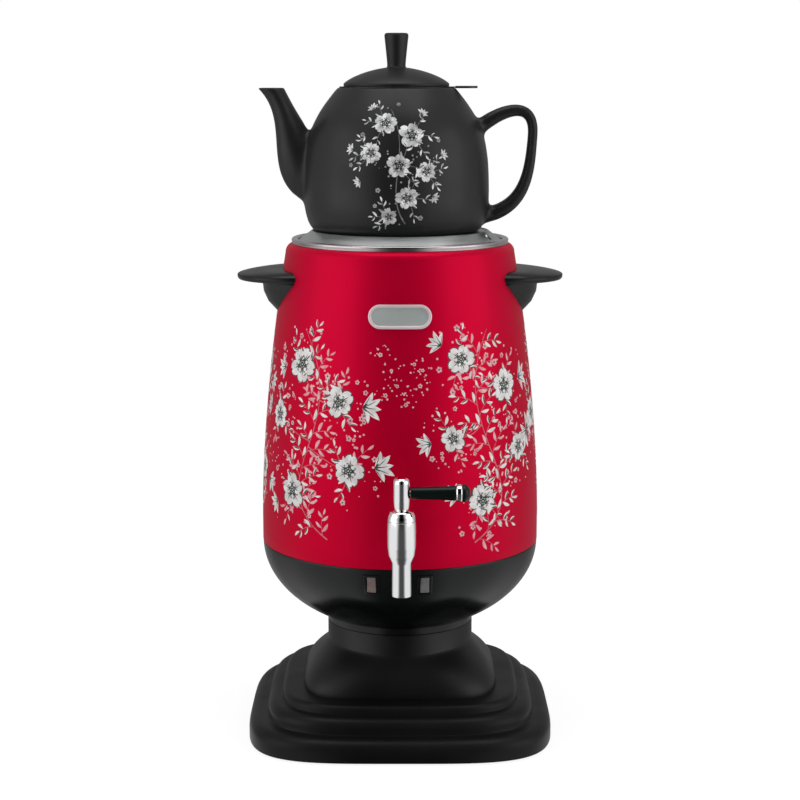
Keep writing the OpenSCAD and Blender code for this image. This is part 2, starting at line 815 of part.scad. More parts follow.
module heating_plate() {
    color(chrome) translate([0, 0, heater_z]) ring(heater_r, rod_r + rod_clearance, heater_t - fine);
}

element_gap = 14;

module heating_element() {
    end_turn = element_gap;
    end_l = 12;
    color(steel) {
        translate([0, 0, element_z]) rotate([0, 0, -90 + end_turn])
            rotate_extrude(angle = 360 - 2 * end_turn) translate([element_ring_r, 0]) circle(element_r);
        for (side = [-1, 1]) rotate([0, 0, -90 + side * end_turn])
            translate([element_ring_r, 0, element_z]) {
                translate([0, 0, -end_l]) cylinder(r = element_r + 0.8, h = end_l + 3);
                translate([0, 0, -end_l - 6]) cylinder(r = 1.2, h = 7);
            }
    }
}

module element_bracket() {
    bar_w = 16;
    bar_l = 2 * element_ring_r + 22;
    color(steel) difference() {
        translate([-bar_l / 2, -bar_w / 2, bracket_bar_z]) cube([bar_l, bar_w, bracket_bar_t]);
        translate([0, 0, bracket_bar_z - 1]) cylinder(r = rod_r + rod_clearance, h = bracket_bar_t + 2);
    }
}

module limiter() {
    translate([0, 0, heater_z - thermostat_h]) cylinder(r = thermostat_r, h = thermostat_h);
    for (x = [-1, 1]) translate([x * 4 - 1.5, -0.4, heater_z - thermostat_h - 6]) cube([3, 0.8, 6.5]);
}

module thermostat() {
    color(silicone) translate([0, -thermostat_offset, 0]) limiter();
}

module thermal_cutout() {
    color(black) translate([0, thermostat_offset, 0]) limiter();
}

terminal_floor_z = neck_z + bowl_floor_t;

terminal_y = 18;
terminal_w = 14;

module terminal_block() {
    l = 30;
    w = terminal_w;
    h = 12;
    color(silicone) translate([-l / 2, terminal_y, terminal_floor_z]) difference() {
        cube([l, w, h]);
        for (i = [0 : 2]) translate([5 + 10 * i, w / 2, 5]) cylinder(r = 2.2, h = h);
        for (i = [0 : 2]) translate([5 + 10 * i, -1, 5]) rotate([-90, 0, 0]) cylinder(r = 1.6, h = w + 2);
    }
}

// A point given in the frame of on_bowl, in the part's own frame
function bowl_point(turn, z, p) =
    let (
        t = bowl_tilt(z),
        y = -bowl_radius(z) - p[1] * sin(t) - p[2] * cos(t),
        up = z + p[1] * cos(t) - p[2] * sin(t)
    )
        [p[0] * cos(turn) - y * sin(turn), p[0] * sin(turn) + y * cos(turn), up];

module wiring() {
    block_z = terminal_floor_z + 5;
    back = terminal_y + terminal_w - 3;
    front = terminal_y + 3;
    pin_end = boss_proud + inlet_flange_t - 1.5 - pin_l - 0.1;
    lug = switch_seat - switch_depth - 6.1;
    lug_z = heater_z - thermostat_h - 6.1;
    element_x = element_ring_r * sin(element_gap);
    element_y = -element_ring_r * cos(element_gap);
    element_end_z = element_z - 18.1;
    color("dimgray") {
        for (p = pin_places) wire([
            bowl_point(180, inlet_z, [p[0], p[1], pin_end]),
            bowl_point(180, inlet_z, [p[0], p[1], pin_end - 4]),
            [-p[0] * 1.4, back + 9, block_z + (p[0] == 0 ? 9 : 4)],
            [-p[0] * 10 / 7, back + 6, block_z],
            [-p[0] * 10 / 7, back, block_z]
        ], wire_r);
        wire([
            [-10, front, block_z],
            [-10, front - 9, block_z],
            [-26, -20, block_z + 16],
            [-30, -44, block_z + 22],
            bowl_point(switch_turn(-1), switch_z, [0, 3.5, lug - 6]),
            bowl_point(switch_turn(-1), switch_z, [0, 3.5, lug])
        ], wire_r);
        wire([
            [10, front, block_z],
            [10, front - 9, block_z],
            [26, -20, block_z + 16],
            [30, -44, block_z + 22],
            bowl_point(switch_turn(1), switch_z, [0, 3.5, lug - 6]),
            bowl_point(switch_turn(1), switch_z, [0, 3.5, lug])
        ], wire_r);
        wire([
            [-4, thermostat_offset, lug_z],
            [-4, thermostat_offset, lug_z - 4],
            [-36, thermostat_offset - 8, lug_z - 6],
            [-element_x - 20, element_y + 18, lug_z - 4],
            [-element_x, element_y, element_end_z - 5],
            [-element_x, element_y, element_end_z]
        ], wire_r);
        wire([
            [4, -thermostat_offset, lug_z],
            [4, -thermostat_offset, lug_z - 4],
            [element_x, element_y, element_end_z - 5],
            [element_x, element_y, element_end_z]
        ], wire_r);
    }
}

// ---------------------------------------------------------------- power inlet

module power_inlet() {
    body_w = socket_w + 2 * socket_wall;
    body_h = socket_h + 2 * socket_wall;
    body_depth = socket_depth + 4;
    color(satin_black) on_bowl(180, inlet_z) translate([0, 0, boss_proud]) difference() {
        union() {
            linear_extrude(inlet_flange_t) stadium(inlet_flange_w, inlet_flange_h);
            translate([-body_w / 2, -body_h / 2, -body_depth + inlet_flange_t])
                cube([body_w, body_h, body_depth]);
        }
        translate([-socket_w / 2, -socket_h / 2, inlet_flange_t - socket_depth])
            cube([socket_w, socket_h, socket_depth + 1]);
        for (x = [-1, 1]) translate([x * inlet_screw_pitch / 2, 0, -1])
            cylinder(r = inlet_screw_r + 0.1, h = inlet_flange_t + 2);
        for (p = pin_places) translate([p[0] - 1, p[1] - 2, -body_depth]) cube([2, 4, body_depth]);
    }
}

pin_places = [[-7, -2, 0], [0, 2, 0], [7, -2, 0]];
pin_l = 24;

module inlet_pins() {
    color(chrome) on_bowl(180, inlet_z) for (p = pin_places)
        translate([p[0] - 1, p[1] - 2, boss_proud + inlet_flange_t - 1.5 - pin_l]) cube([2, 4, pin_l]);
}

module inlet_screws() {
    color(steel) on_bowl(180, inlet_z) for (x = [-1, 1])
        translate([x * inlet_screw_pitch / 2, 0, boss_proud + inlet_flange_t])
            rotate([180, 0, 0]) screw(inlet_screw_r + 1.4, screw_head_h, inlet_screw_r, inlet_screw_l);
}

// ---------------------------------------------------------------- side handles and badge

handle_screw_z = handle_z - 8;

module at_handle_screws(turn) {
    rotate([0, 0, turn]) for (i = [-1, 1])
        translate([casing_radius(handle_screw_z), 0, handle_screw_z])
            rotate([0, 90 - casing_tilt(handle_screw_z), 0])
                translate([i * handle_screw_pitch / 2, 0, 0]) children();
}

function half_ellipse(a, b) = [for (t = [-90 : 7.5 : 90]) [a * cos(t), b * sin(t)]];

module slab(outline, z, h) {
    translate([0, 0, z]) linear_extrude(h) polygon(outline);
}

module side_handle() {
    root_x = sqrt(pow(casing_radius(handle_z), 2) - pow(wing_half_l, 2)) - 1;
    reach = handle_reach - root_x;
    arm = casing_radius(handle_z) + bracket_reach - root_x;
    low = handle_z - wing_t / 2;
    // Depth, reach and length of the bracket's sections, as parts of the whole
    sections = [[0, 1, 1], [0.36, 0.97, 0.82], [0.68, 0.85, 0.64], [1, 0.6, 0.5]];
    difference() {
        translate([root_x, 0, 0]) {
            hull() {
                slab(half_ellipse(reach - wing_edge, wing_half_l - wing_edge), low, wing_t);
                slab(half_ellipse(reach, wing_half_l), low + wing_edge, wing_t - 2 * wing_edge);
                slab(half_ellipse(reach * 0.35, wing_half_l * 0.8), low + wing_t, wing_rise);
            }
            hull() for (p = sections)
                slab(half_ellipse(arm * p[1], wing_half_l * p[2]), low - bracket_depth * p[0], 0.4);
        }
        casing_solid();
        at_handle_screws(0) translate([0, 0, -1]) cylinder(r = handle_screw_r, h = 9);
    }
}

module handle_right() {
    color(satin_black) side_handle();
}

module handle_left() {
    color(satin_black) mirror([1, 0, 0]) side_handle();
}

module handle_screws() {
    color(steel) for (side = [0, 180]) at_handle_screws(side)
        translate([0, 0, -casing_t - 0.1]) screw(handle_screw_r + 1.6, screw_head_h, handle_screw_r, handle_screw_l);
}

module badge_plate() {
    module prism(w, h) {
        translate([0, 0, badge_z]) rotate([90, 0, 0]) linear_extrude(120) stadium(w, h);
    }
    module band(inner, outer) {
        z0 = badge_z - badge_h;
        z1 = badge_z + badge_h;
        rotate_extrude() polygon([
            [casing_radius(z0) + inner, z0],
            [casing_radius(z0) + outer, z0],
            [casing_radius(badge_z) + outer, badge_z],
            [casing_radius(z1) + outer, z1],
            [casing_radius(z1) + inner, z1],
            [casing_radius(badge_z) + inner, badge_z]
        ]);
    }
    color(chrome) difference() {
        intersection() {
            band(0.15, badge_t);
            prism(badge_w, badge_h);
        }
        intersection() {
            band(badge_t - 0.6, badge_t + 1);
            prism(badge_w - 2 * badge_rim, badge_h - 2 * badge_rim);
        }
    }
}

// ---------------------------------------------------------------- switches

switch_body_w = bezel_w - 1.4;
switch_body_h = bezel_h - 1.2;
switch_seat = -pocket_depth;
switch_face = switch_seat + bezel_t;
rocker_pivot = switch_face - 2.8;
rocker_top = 2.6;
rocker_end_top = rocker_top + rocker_h / 2 * tan(rocker_tilt);
function switch_turn(side) = asin((switch_x + side * switch_half_pitch) / bowl_radius(switch_z));

module switch_frame(side) {
    slot_w = rocker_w + 2 * rocker_clearance;
    slot_half_h = rocker_h / 2 * cos(rocker_tilt) + rocker_end_top * sin(rocker_tilt) + rocker_clearance;
    slot_depth = 8;
    body_z = switch_seat - switch_depth;
    color(black) on_bowl(switch_turn(side), switch_z) difference() {
        union() {
            translate([-bezel_w / 2, -bezel_h / 2, switch_seat]) cube([bezel_w, bezel_h, bezel_t]);
            translate([-switch_body_w / 2, -switch_body_h / 2, body_z])
                cube([switch_body_w, switch_body_h, switch_depth + 0.2]);
            for (y = [-3.5, 3.5]) translate([-2, y - 0.4, body_z - 6]) cube([4, 0.8, 6.2]);
        }
        translate([-slot_w / 2, -slot_half_h, switch_face - slot_depth])
            cube([slot_w, 2 * slot_half_h, slot_depth + 1]);
        translate([-switch_body_w / 2 - 1, 0, rocker_pivot]) rotate([0, 90, 0])
            cylinder(r = trunnion_r + trunnion_clearance, h = switch_body_w + 2);
    }
}

module rocker(side) {
    half = rocker_h / 2;
    trunnion_l = switch_body_w;
    tint = side < 0 ? [0.75, 0.68, 0.64] : [0.5, 0.5, 0.5];
    color(tint) on_bowl(switch_turn(side), switch_z)
        translate([0, 0, rocker_pivot]) rotate([-rocker_tilt, 0, 0]) {
            rotate([90, 0, 90]) translate([0, 0, -rocker_w / 2]) linear_extrude(rocker_w) polygon([
                [-half, 0.4],
                [-2, -3],
                [2, -3],
                [half, 0.4],
                [half, rocker_end_top],
                [0, rocker_top],
                [-half, rocker_end_top]
            ]);
            rotate([0, 90, 0]) translate([0, 0, -trunnion_l / 2]) cylinder(r = trunnion_r, h = trunnion_l);
        }
}

module switch_frame_left() {
    switch_frame(-1);
}

module switch_frame_right() {
    switch_frame(1);
}

module rocker_left() {
    rocker(-1);
}

module rocker_right() {
    rocker(1);
}

// ---------------------------------------------------------------- tap

tap_y = -(casing_radius(tap_z) + tap_reach);
valve_r = plug_r + plug_clearance;
tank_inner_y = tank_radius(tap_z) - tank_t;
inner_gasket_y = tank_inner_y - gasket_t - 1;
nut_end_y = inner_gasket_y - tap_nut_t;
flange_back_y = casing_radius(tap_z) + gasket_t;

module at_tap() {
    translate([tap_x, tap_y, tap_z]) children();
}

module along_shank(y) {
    translate([tap_x, -y, tap_z]) rotate([90, 0, 0]) children();
}

module tap_body() {
    waist_z = -barrel_low;
    color(chrome) difference() {
        union() {
            at_tap() rotate_extrude() polygon([
                [0, -tap_drop],
                [spout_r - 0.5, -tap_drop],
                [spout_r, -tap_drop + 0.8],
                [spout_r, waist_z - 0.4],
                [barrel_r - 0.9, waist_z + 3.6],
                [barrel_r - 0.4, waist_z + 6.6],
                [barrel_r, -3.6],
                [barrel_r, 3],
                [barrel_r - 0.2, barrel_high],
                [0, barrel_high]
            ]);
            along_shank(nut_end_y - 3) cylinder(r = shank_r, h = -tap_y - nut_end_y + 3);
        }
        at_tap() translate([0, 0, -valve_depth]) cylinder(r = valve_r, h = valve_depth + barrel_high + 1);
        at_tap() translate([0, 0, -tap_drop - 1]) cylinder(r = outlet_r, h = tap_drop);
        along_shank(nut_end_y - 4) cylinder(r = waterway_r, h = -tap_y - nut_end_y + 4);
    }
}

module tap_cap() {
    color(chrome) at_tap() translate([0, 0, barrel_high]) difference() {
        rotate_extrude() polygon([
            [0, 0],
            [barrel_r - 0.2, 0],
            [barrel_r - 0.8, cap_h * 0.45],
            [barrel_r - 2.2, cap_h * 0.85],
            [stem_r + 1.2, cap_h],
            [0, cap_h]
        ]);
        translate([0, 0, -1]) cylinder(r = stem_r + plug_clearance, h = cap_h + 2);
    }
}

cap_top = barrel_high + cap_h;
groove_w = 1.5;
o_ring_r = 0.62;
groove_zs = [-valve_depth + 2.6, barrel_high - 3];

module valve_plug() {
    gap = 0.3;
    groove_r = plug_r - 1.3;
    head_z = cap_top + gap;
    color(chrome) at_tap() difference() {
        union() {
            difference() {
                translate([0, 0, -valve_depth + gap]) cylinder(r = plug_r, h = valve_depth + barrel_high - 2 * gap);
                for (z = groove_zs) translate([0, 0, z - groove_w / 2]) difference() {
                    cylinder(r = plug_r + 1, h = groove_w);
                    translate([0, 0, -1]) cylinder(r = groove_r, h = groove_w + 2);
                }
            }
            translate([0, 0, barrel_high - gap - 1]) cylinder(r = stem_r, h = cap_h + 2 * gap + 2);
            translate([0, 0, head_z]) rotate_extrude() polygon([
                [0, 0],
                [head_r - 0.7, 0],
                [head_r - 0.3, 1.6],
                [head_r, 5],
                [head_r, head_h - 3.4],
                [head_r - 0.4, head_h - 1.8],
                [head_r - 1.4, head_h - 0.6],
                [head_r - 2.8, head_h],
                [0, head_h]
            ]);
        }
        translate([0, 0, -valve_depth - 1]) cylinder(r = waterway_r, h = valve_depth + 1);
        rotate([0, -90, 0]) cylinder(r = waterway_r, h = plug_r + 1);
        translate([-1, 0, lever_z]) rotate([0, 90, 0]) cylinder(r = lever_rod_r, h = head_r + 2);
    }
}

module valve_o_rings() {
    ring_r = plug_r - 1.3 + o_ring_r + fine;
    color(rubber) at_tap() for (z = groove_zs)
        translate([0, 0, z]) rotate_extrude() translate([ring_r, 0]) circle(o_ring_r, $fn = 24);
}

module along_lever(x) {
    at_tap() translate([x, 0, lever_z]) rotate([0, 90, 0]) children();
}

lever_ring_x = head_r + 0.3 + grip_l;
knob_x = lever_ring_x + lever_ring_w;

module lever_rod() {
    color(steel) along_lever(-1) cylinder(r = lever_rod_r, h = knob_x + 3);
}

module lever_grip() {
    color(satin_black) along_lever(head_r + 0.3) difference() {
        rotate_extrude() polygon([
            [0, 0],
            [grip_r - 0.5, 0],
            [grip_r, 0.5],
            [mix(grip_r, grip_end_r, 0.35), grip_l * 0.55],
            [grip_end_r, grip_l - 1],
            [grip_end_r, grip_l],
            [0, grip_l]
        ]);
        translate([0, 0, -1]) cylinder(r = lever_rod_r, h = grip_l + 2);
    }
}

module lever_ring() {
    color(chrome) along_lever(lever_ring_x) difference() {
        rotate_extrude() polygon([
            [0, 0],
            [lever_ring_r - 0.6, 0],
            [lever_ring_r, 0.8],
            [lever_ring_r, lever_ring_w - 0.8],
            [lever_ring_r - 0.6, lever_ring_w],
            [0, lever_ring_w]
        ]);
        translate([0, 0, -1]) cylinder(r = lever_rod_r, h = lever_ring_w + 2);
    }
}

module lever_knob() {
    color(satin_black) along_lever(knob_x) difference() {
        rotate_extrude() polygon(concat(
            [[0, 0], [lever_ring_r - 0.3, 0]],
            [for (a = [0 : 15 : 90]) [(lever_ring_r - 0.1) * cos(a), 1 + (knob_l - 1) * sin(a)]]
        ));
        translate([0, 0, -1]) cylinder(r = lever_rod_r, h = 3.1);
    }
}

module tap_flange() {
    color(chrome) along_shank(flange_back_y) difference() {
        rotate_extrude() polygon([
            [0, 0],
            [flange_r, 0],
            [flange_r, flange_t * 0.5],
            [flange_r - 0.8, flange_t],
            [shank_r + 1.2, flange_t + 0.4],
            [shank_r + 1, flange_t + 3],
            [0, flange_t + 3]
        ]);
        translate([0, 0, -1]) cylinder(r = shank_r, h = flange_t + 5);
    }
}

module tap_gasket_outer() {
    color(silicone) difference() {
        along_shank(casing_radius(tap_z) - 2) ring(flange_r - 0.6, shank_r, gasket_t + 2);
        casing_solid($fn = 360);
    }
}

module tap_gasket_inner() {
    color(silicone) intersection() {
        along_shank(inner_gasket_y) ring(flange_r - 1, shank_r, gasket_t + 4);
        tank_profile(tank_t, tank_z + tank_t, rim_z, $fn = 360);
    }
}

module tap_nut() {
    color(chrome) along_shank(nut_end_y) hex_nut(tap_nut_af, tap_nut_t, shank_r);
}

// ---------------------------------------------------------------- tank lid

module tank_lid() {
    seat_r = pot_foot_r + seat_clearance + 1;
    collar_r = tank_top_r - tank_t - 0.7;
    t = lid_t;
    vent_at = (seat_r + lid_r) / 2;
    color(chrome) difference() {
        rotate_extrude() polygon([
            [collar_r, rim_z - lid_collar_h],
            [collar_r, rim_z],
            [lid_r, rim_z],
            [lid_r, rim_z + t],
            [lid_r - 1, rim_z + t + 0.6],
            [seat_r + 1, seat_rim_z],
            [seat_r, seat_rim_z],
            [seat_r - 0.8, seat_z],
            [lid_opening_r, seat_z],
            [lid_opening_r, seat_z - t],
            [seat_r - 0.8 - t / 2, seat_z - t],
            [seat_r + 0.4, seat_rim_z - t - 0.6],
            [collar_r - t, rim_z + t * 0.4],
            [collar_r - t, rim_z - lid_collar_h]
        ]);
        for (turn = [vent_turn, vent_turn + 180]) rotate([0, 0, turn])
            translate([vent_at, 0, rim_z - 2]) cylinder(r = vent_r, h = 20);
    }
}

// ---------------------------------------------------------------- teapot

module at_pot() {
    translate([pot_x, 0, seat_z]) children();
}

pot_steps = 10;
function pot_side(inset) =
    let (
        low = [[pot_foot_r, 0], [pot_foot_r + 5, 2], [pot_r, pot_belly_h * 0.5], [pot_r, pot_belly_h]],
        high = [
            [pot_r, pot_belly_h],
            [pot_r, mix(pot_belly_h, pot_h, 0.53)],
            [pot_r - 2.8, pot_h - 24],
            [pot_rim_r, pot_h]
        ]
    )
        concat(
            [for (i = [0 : pot_steps / 2]) bezier(low, i / (pot_steps / 2)) - [inset, 0]],
            [for (i = [1 : pot_steps]) bezier(high, i / pot_steps) - [inset, 0]]
        );

module pot_body(inset, floor_z) {
    rotate_extrude() polygon(concat(
        [[0, floor_z]],
        [for (p = pot_side(inset)) if (p[1] >= floor_z) p],
        inset > 0 ? [[pot_rim_r - inset, pot_h + 1], [0, pot_h + 1]] : [[0, pot_h]]
    ));
}

// The spout lies between an outer and an inner edge curve
spout_steps = 12;
spout_outer = [
    [-pot_spout_reach, pot_h],
    [-pot_spout_reach + 25.5, pot_h - 24],
    [-pot_spout_reach - 4, pot_h - 63],
    [-pot_r + 7, pot_h - 80]
];
spout_inner = [
    [-pot_spout_reach + pot_spout_mouth, pot_h],
    [-pot_spout_reach + pot_spout_mouth + 6, pot_h - 13],
    [-pot_r + 5, pot_h - 33],
    [-pot_r + 31, pot_h - 66]
];
function spout_depth(t) = 8 + 7 * t;

module pot_spout(inset, over) {
    ts = [for (i = [0 : spout_steps]) i / spout_steps];
    pairs = [for (t = ts)
        let (a = bezier(spout_outer, t), b = bezier(spout_inner, t), u = (b - a) / norm(b - a))
            [a + u * inset, b - u * inset]];
    first = [for (p = [pairs[0]]) [p[0] + [0, over], p[1] + [0, over]]];
    edges = over > 0 ? concat(first, pairs) : pairs;
    depths = concat(over > 0 ? [spout_depth(0) - inset] : [], [for (t = ts) spout_depth(t) - inset]);
    lofted([for (e = edges) e[0]], [for (e = edges) e[1]], depths);
}

handle_steps = 9;
handle_side = pot_handle_reach - pot_handle_t / 2;
handle_top = [
    [pot_r - 10.7, pot_h - 30],
    [pot_r + 1.7, pot_h - 17.4],
    [handle_side + 1.4, pot_h - 3.4],
    [handle_side, pot_h - 31]
];
handle_low = [
    [handle_side, pot_h - 31],
    [handle_side - 1.6, pot_h - 56],
    [handle_side - 3.6, pot_h - 81.5],
    [pot_r - 5.3, pot_h - 86]
];

module pot_handle() {
    line = concat(
        [for (i = [0 : handle_steps]) bezier(handle_top, i / handle_steps)],
        [for (i = [1 : handle_steps]) bezier(handle_low, i / handle_steps)]
    );
    n = len(line);
    normals = [for (i = [0 : n - 1])
        let (d = line[min(i + 1, n - 1)] - line[max(i - 1, 0)]) [d[1], -d[0]] / norm(d)];
    halves = [for (i = [0 : n - 1])
        (pot_handle_t + pot_handle_flare * pow(abs(2 * i / (n - 1) - 1), 1.5)) / 2];
    lofted(
        [for (i = [0 : n - 1]) line[i] + normals[i] * halves[i]],
        [for (i = [0 : n - 1]) line[i] - normals[i] * halves[i]],
        [for (i = [0 : n - 1]) pot_handle_w / pot_handle_t * halves[i]],
        16
    );
}

module teapot() {
    floor_t = 5;
    color(satin_black) at_pot() difference() {
        union() {
            pot_body(0, 0);
            pot_spout(0, 0);
            pot_handle();
        }
        pot_body(pot_wall, floor_t);
        pot_spout(pot_spout_wall, 1);
    }
}

// ---------------------------------------------------------------- strainer and teapot lid

module strainer_flange() {
    flange_out_r = pot_rim_r - 1;
    color(steel) translate([pot_x, 0, pot_rim_z]) difference() {
        union() {
            cylinder(r = flange_out_r, h = strainer_t);
            translate([flange_out_r - 6, -tab_w / 2, 0]) cube([tab_reach - flange_out_r + 6 - tab_w / 4, tab_w, strainer_t]);
            translate([tab_reach - tab_w / 2, 0, 0]) cylinder(r = tab_w / 2, h = strainer_t);
        }
        translate([0, 0, -1]) cylinder(r = basket_r - strainer_t, h = strainer_t + 2);
    }
}

module strainer_basket() {
    t = strainer_t;
    top = -fine;
    slots = 8;
    color(steel) translate([pot_x, 0, pot_rim_z]) difference() {
        rotate_extrude() polygon([
            [0, -basket_depth],
            [basket_floor_r, -basket_depth],
            [basket_r, top],
            [basket_r - t, top],
            [basket_floor_r - t, -basket_depth + t],
            [0, -basket_depth + t]
        ]);
        for (i = [0 : slots - 1]) rotate([0, 0, 180 * i / slots])
            translate([-basket_r - 5, -0.8, -basket_depth + 8]) cube([2 * basket_r + 10, 1.6, basket_depth - 16]);
        for (i = [0 : 7]) rotate([0, 0, 45 * i]) translate([basket_floor_r * 0.6, 0, -basket_depth - 1])
            cylinder(r = 1.6, h = t + 2);
    }
}

module teapot_lid() {
    basket_in_r = mix(basket_r, basket_floor_r, pot_lid_collar_h / (basket_depth - strainer_t)) - strainer_t;
    collar_r = basket_in_r - pot_lid_clearance;
    top = pot_lid_dome_h + pot_lid_edge_h;
    shell = 3.5;
    crown = [
        [pot_lid_r - 0.3, pot_lid_edge_h],
        [mix(pot_knob_neck_r, pot_lid_r, 0.78), mix(pot_lid_edge_h, top, 0.51)],
        [mix(pot_knob_neck_r, pot_lid_r, 0.33), mix(pot_lid_edge_h, top, 0.9)],
        [pot_knob_neck_r, top]
    ];
    steps = 8;
    dome = [for (i = [0 : steps]) bezier(crown, i / steps)];
    under = [for (a = [80 : -10 : 0])
        [(collar_r - shell) * cos(a), (top - shell) * sin(a)]];
    color(satin_black) translate([pot_x, 0, pot_lid_z]) rotate_extrude() polygon(concat(
        [
            [collar_r - shell, -pot_lid_collar_h],
            [collar_r, -pot_lid_collar_h],
            [collar_r, 0],
            [pot_lid_r - 0.3, 0],
            [pot_lid_r, 0.6],
            [pot_lid_r, pot_lid_edge_h - 0.6]
        ],
        dome,
        [
            [pot_knob_neck_r, top + 2],
            [pot_knob_r - 0.2, top + pot_knob_h - 3],
            [pot_knob_r, top + pot_knob_h - 1.5],
            [pot_knob_r - 0.6, top + pot_knob_h - 0.4],
            [pot_knob_r - 1.6, top + pot_knob_h],
            [0, top + pot_knob_h],
            [0, top - shell]
        ],
        under
    ));
}

foot_ring();
bottom_cover();
cover_screws();
base_housing();
clamp_plate();
pedestal();
tie_rod();
tie_rod_nuts();
lower_bowl();
tank_support_plate();
outer_casing();
water_tank();
top_ring();
heating_plate();
heating_element();
element_bracket();
thermostat();
thermal_cutout();
terminal_block();
wiring();
power_inlet();
inlet_pins();
inlet_screws();
handle_left();
handle_right();
handle_screws();
badge_plate();
switch_frame_left();
switch_frame_right();
rocker_left();
rocker_right();
tap_body();
tap_cap();
valve_plug();
valve_o_rings();
lever_rod();
lever_grip();
lever_ring();
lever_knob();
tap_flange();
tap_gasket_outer();
tap_gasket_inner();
tap_nut();
tank_lid();
teapot();
strainer_flange();
strainer_basket();
teapot_lid();
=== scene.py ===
"""Looks of the electric samovar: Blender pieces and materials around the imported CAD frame."""

import math
import random

import bmesh
import bpy
import numpy as np
from mathutils import Matrix, Vector
from mathutils.geometry import delaunay_2d_cdt


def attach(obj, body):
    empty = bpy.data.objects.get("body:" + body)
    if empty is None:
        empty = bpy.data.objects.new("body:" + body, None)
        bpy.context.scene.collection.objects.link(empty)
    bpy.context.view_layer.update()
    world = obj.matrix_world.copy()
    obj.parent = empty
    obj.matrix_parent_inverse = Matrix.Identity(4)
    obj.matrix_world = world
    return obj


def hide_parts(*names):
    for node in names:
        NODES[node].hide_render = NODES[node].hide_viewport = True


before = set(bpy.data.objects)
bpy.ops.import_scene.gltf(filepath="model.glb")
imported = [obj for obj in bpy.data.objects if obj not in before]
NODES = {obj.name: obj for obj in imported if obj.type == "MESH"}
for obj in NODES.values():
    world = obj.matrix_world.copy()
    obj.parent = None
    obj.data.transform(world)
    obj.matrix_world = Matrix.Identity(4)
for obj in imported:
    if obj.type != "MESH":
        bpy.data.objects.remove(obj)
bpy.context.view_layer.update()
MM = 0.001
STAND = "stand"

# --- Sizes in mm, as in the CAD source

STEP_Z = (16.0, 27.0, 33.0)
STEP_HALF_W = (104.5, 91.5, 81.5)
STEP_ROUND = (8.0, 7.0, 4.0)
SKIRT_GAP = 0.8
PEDESTAL_HALF_W = 67.0
BASE_OPENING_R = 55.0
MOULDED_WALL = 2.8
SQUARENESS = 4.1
DEPTH_RATIO = 0.95
NECK_R = 50.5
NECK_Z = 74.0
NECK_H = 13.0
SEAM_Z = 131.7
PLATE_Z = 134.8
BOWL_R = 95.2
BOWL_H = 57.7
BOWL_COLLAR_H = 4.7
BOWL_WALL = 2.6
BOWL_HALF_H = (BOWL_H - BOWL_COLLAR_H) / math.sqrt(1 - (NECK_R / BOWL_R) ** 2)
BOWL_RIM_R = 94.1
CASING_R = 95.4
CASING_TOP_R = 77.9
CASING_Z = 337.2
WIDEST_Z = 149.7
SHOULDER_R = 6.0
SHOULDER_Z = CASING_Z - SHOULDER_R
TAPER_POWER = 1.7
TANK_TOP_R = 68.5
RIM_Z = 338.0
RING_TOP_Z = 340.6
RING_IN_R = 69.5
RING_OUT_R = 73.8
LID_R = 69.0
LID_T = 0.9
SEAT_R = 59.0
SEAT_RIM_Z = 345.6
SEAT_Z = 344.6
LID_OPENING_R = 24.0
VENT_R = 2.2
VENT_TURN = -23
TAP = (1.0, -124.894, 163.0)
LEVER_Z = 26.7
HANDLE_Z = 315.0
HANDLE_REACH = 111.0
WING_HALF_L = 41.0
WING_T = 5.2
WING_RISE = 2.2
WING_EDGE = 1.8
# Width, height, thickness, rim's width and middle's height above the ground
BADGE = (41.0, 15.6, 1.6, 2.0, 296.3)
SWITCH_Z = 120.9
SWITCH_TURN = {"left": -11.441, "right": 9.949}
INLET_Z = 106.0
POT_X = -2.4
POT_R = 62.7
POT_FOOT_R = 54.0
POT_H = 96.4
POT_BELLY_H = 22.4
POT_RIM_R = 39.5
POT_WALL = 4.0
POT_RIM_Z = 441.0
POT_LID_Z = 441.8


def smooth_step(t):
    t = min(max(t, 0.0), 1.0)
    return t * t * (3 - 2 * t)


def mix(a, b, t):
    return a + (b - a) * t


def around(x, y, r, a):
    """The point at r from (x, y) in direction a, in radians."""
    return x + r * math.cos(a), y + r * math.sin(a)


def arc(centre, r, start, end, steps):
    return [around(*centre, r, math.radians(mix(start, end, i / steps))) for i in range(steps + 1)]


def bezier(p, t):
    a, b, c, d = (np.array(q, float) for q in p)
    return (1 - t) ** 3 * a + 3 * (1 - t) ** 2 * t * b + 3 * (1 - t) * t * t * c + t**3 * d


def curve(p, steps):
    """Points along a curve of four control points."""
    return [tuple(bezier(p, i / steps)) for i in range(steps + 1)]


def bowl_radius(z):
    return BOWL_R * math.sqrt(max(0.0, 1 - ((SEAM_Z - z) / BOWL_HALF_H) ** 2))


def bowl_tilt(z):
    return math.atan(BOWL_R * BOWL_R * (SEAM_Z - z) / BOWL_HALF_H**2 / bowl_radius(z))


def casing_radius(z):
    rise = max(0.0, z - WIDEST_Z) / (SHOULDER_Z - WIDEST_Z)
    return CASING_R - (CASING_R - CASING_TOP_R) * rise**TAPER_POWER


# --- Mesh helpers. Points and matrices are in mm, and meshes in metres

MERGE_DISTANCE = 2e-6
NEARLY_STRAIGHT = 176
CORNER_SHARE = 0.48


def linked(mesh, name="helper"):
    """An object in the scene with this mesh."""
    made = bpy.data.objects.new(name, mesh)
    bpy.context.scene.collection.objects.link(made)
    return made


def remove(helpers):
    for helper in helpers:
        mesh = helper.data
        bpy.data.objects.remove(helper)
        bpy.data.meshes.remove(mesh)


def mesh_of(name, verts, faces, matrix=None):
    mesh = bpy.data.meshes.new(name)
    points = [Vector(v) for v in verts]
    if matrix is not None:
        points = [matrix @ p for p in points]
    mesh.from_pydata([p * MM for p in points], [], faces)
    return mesh


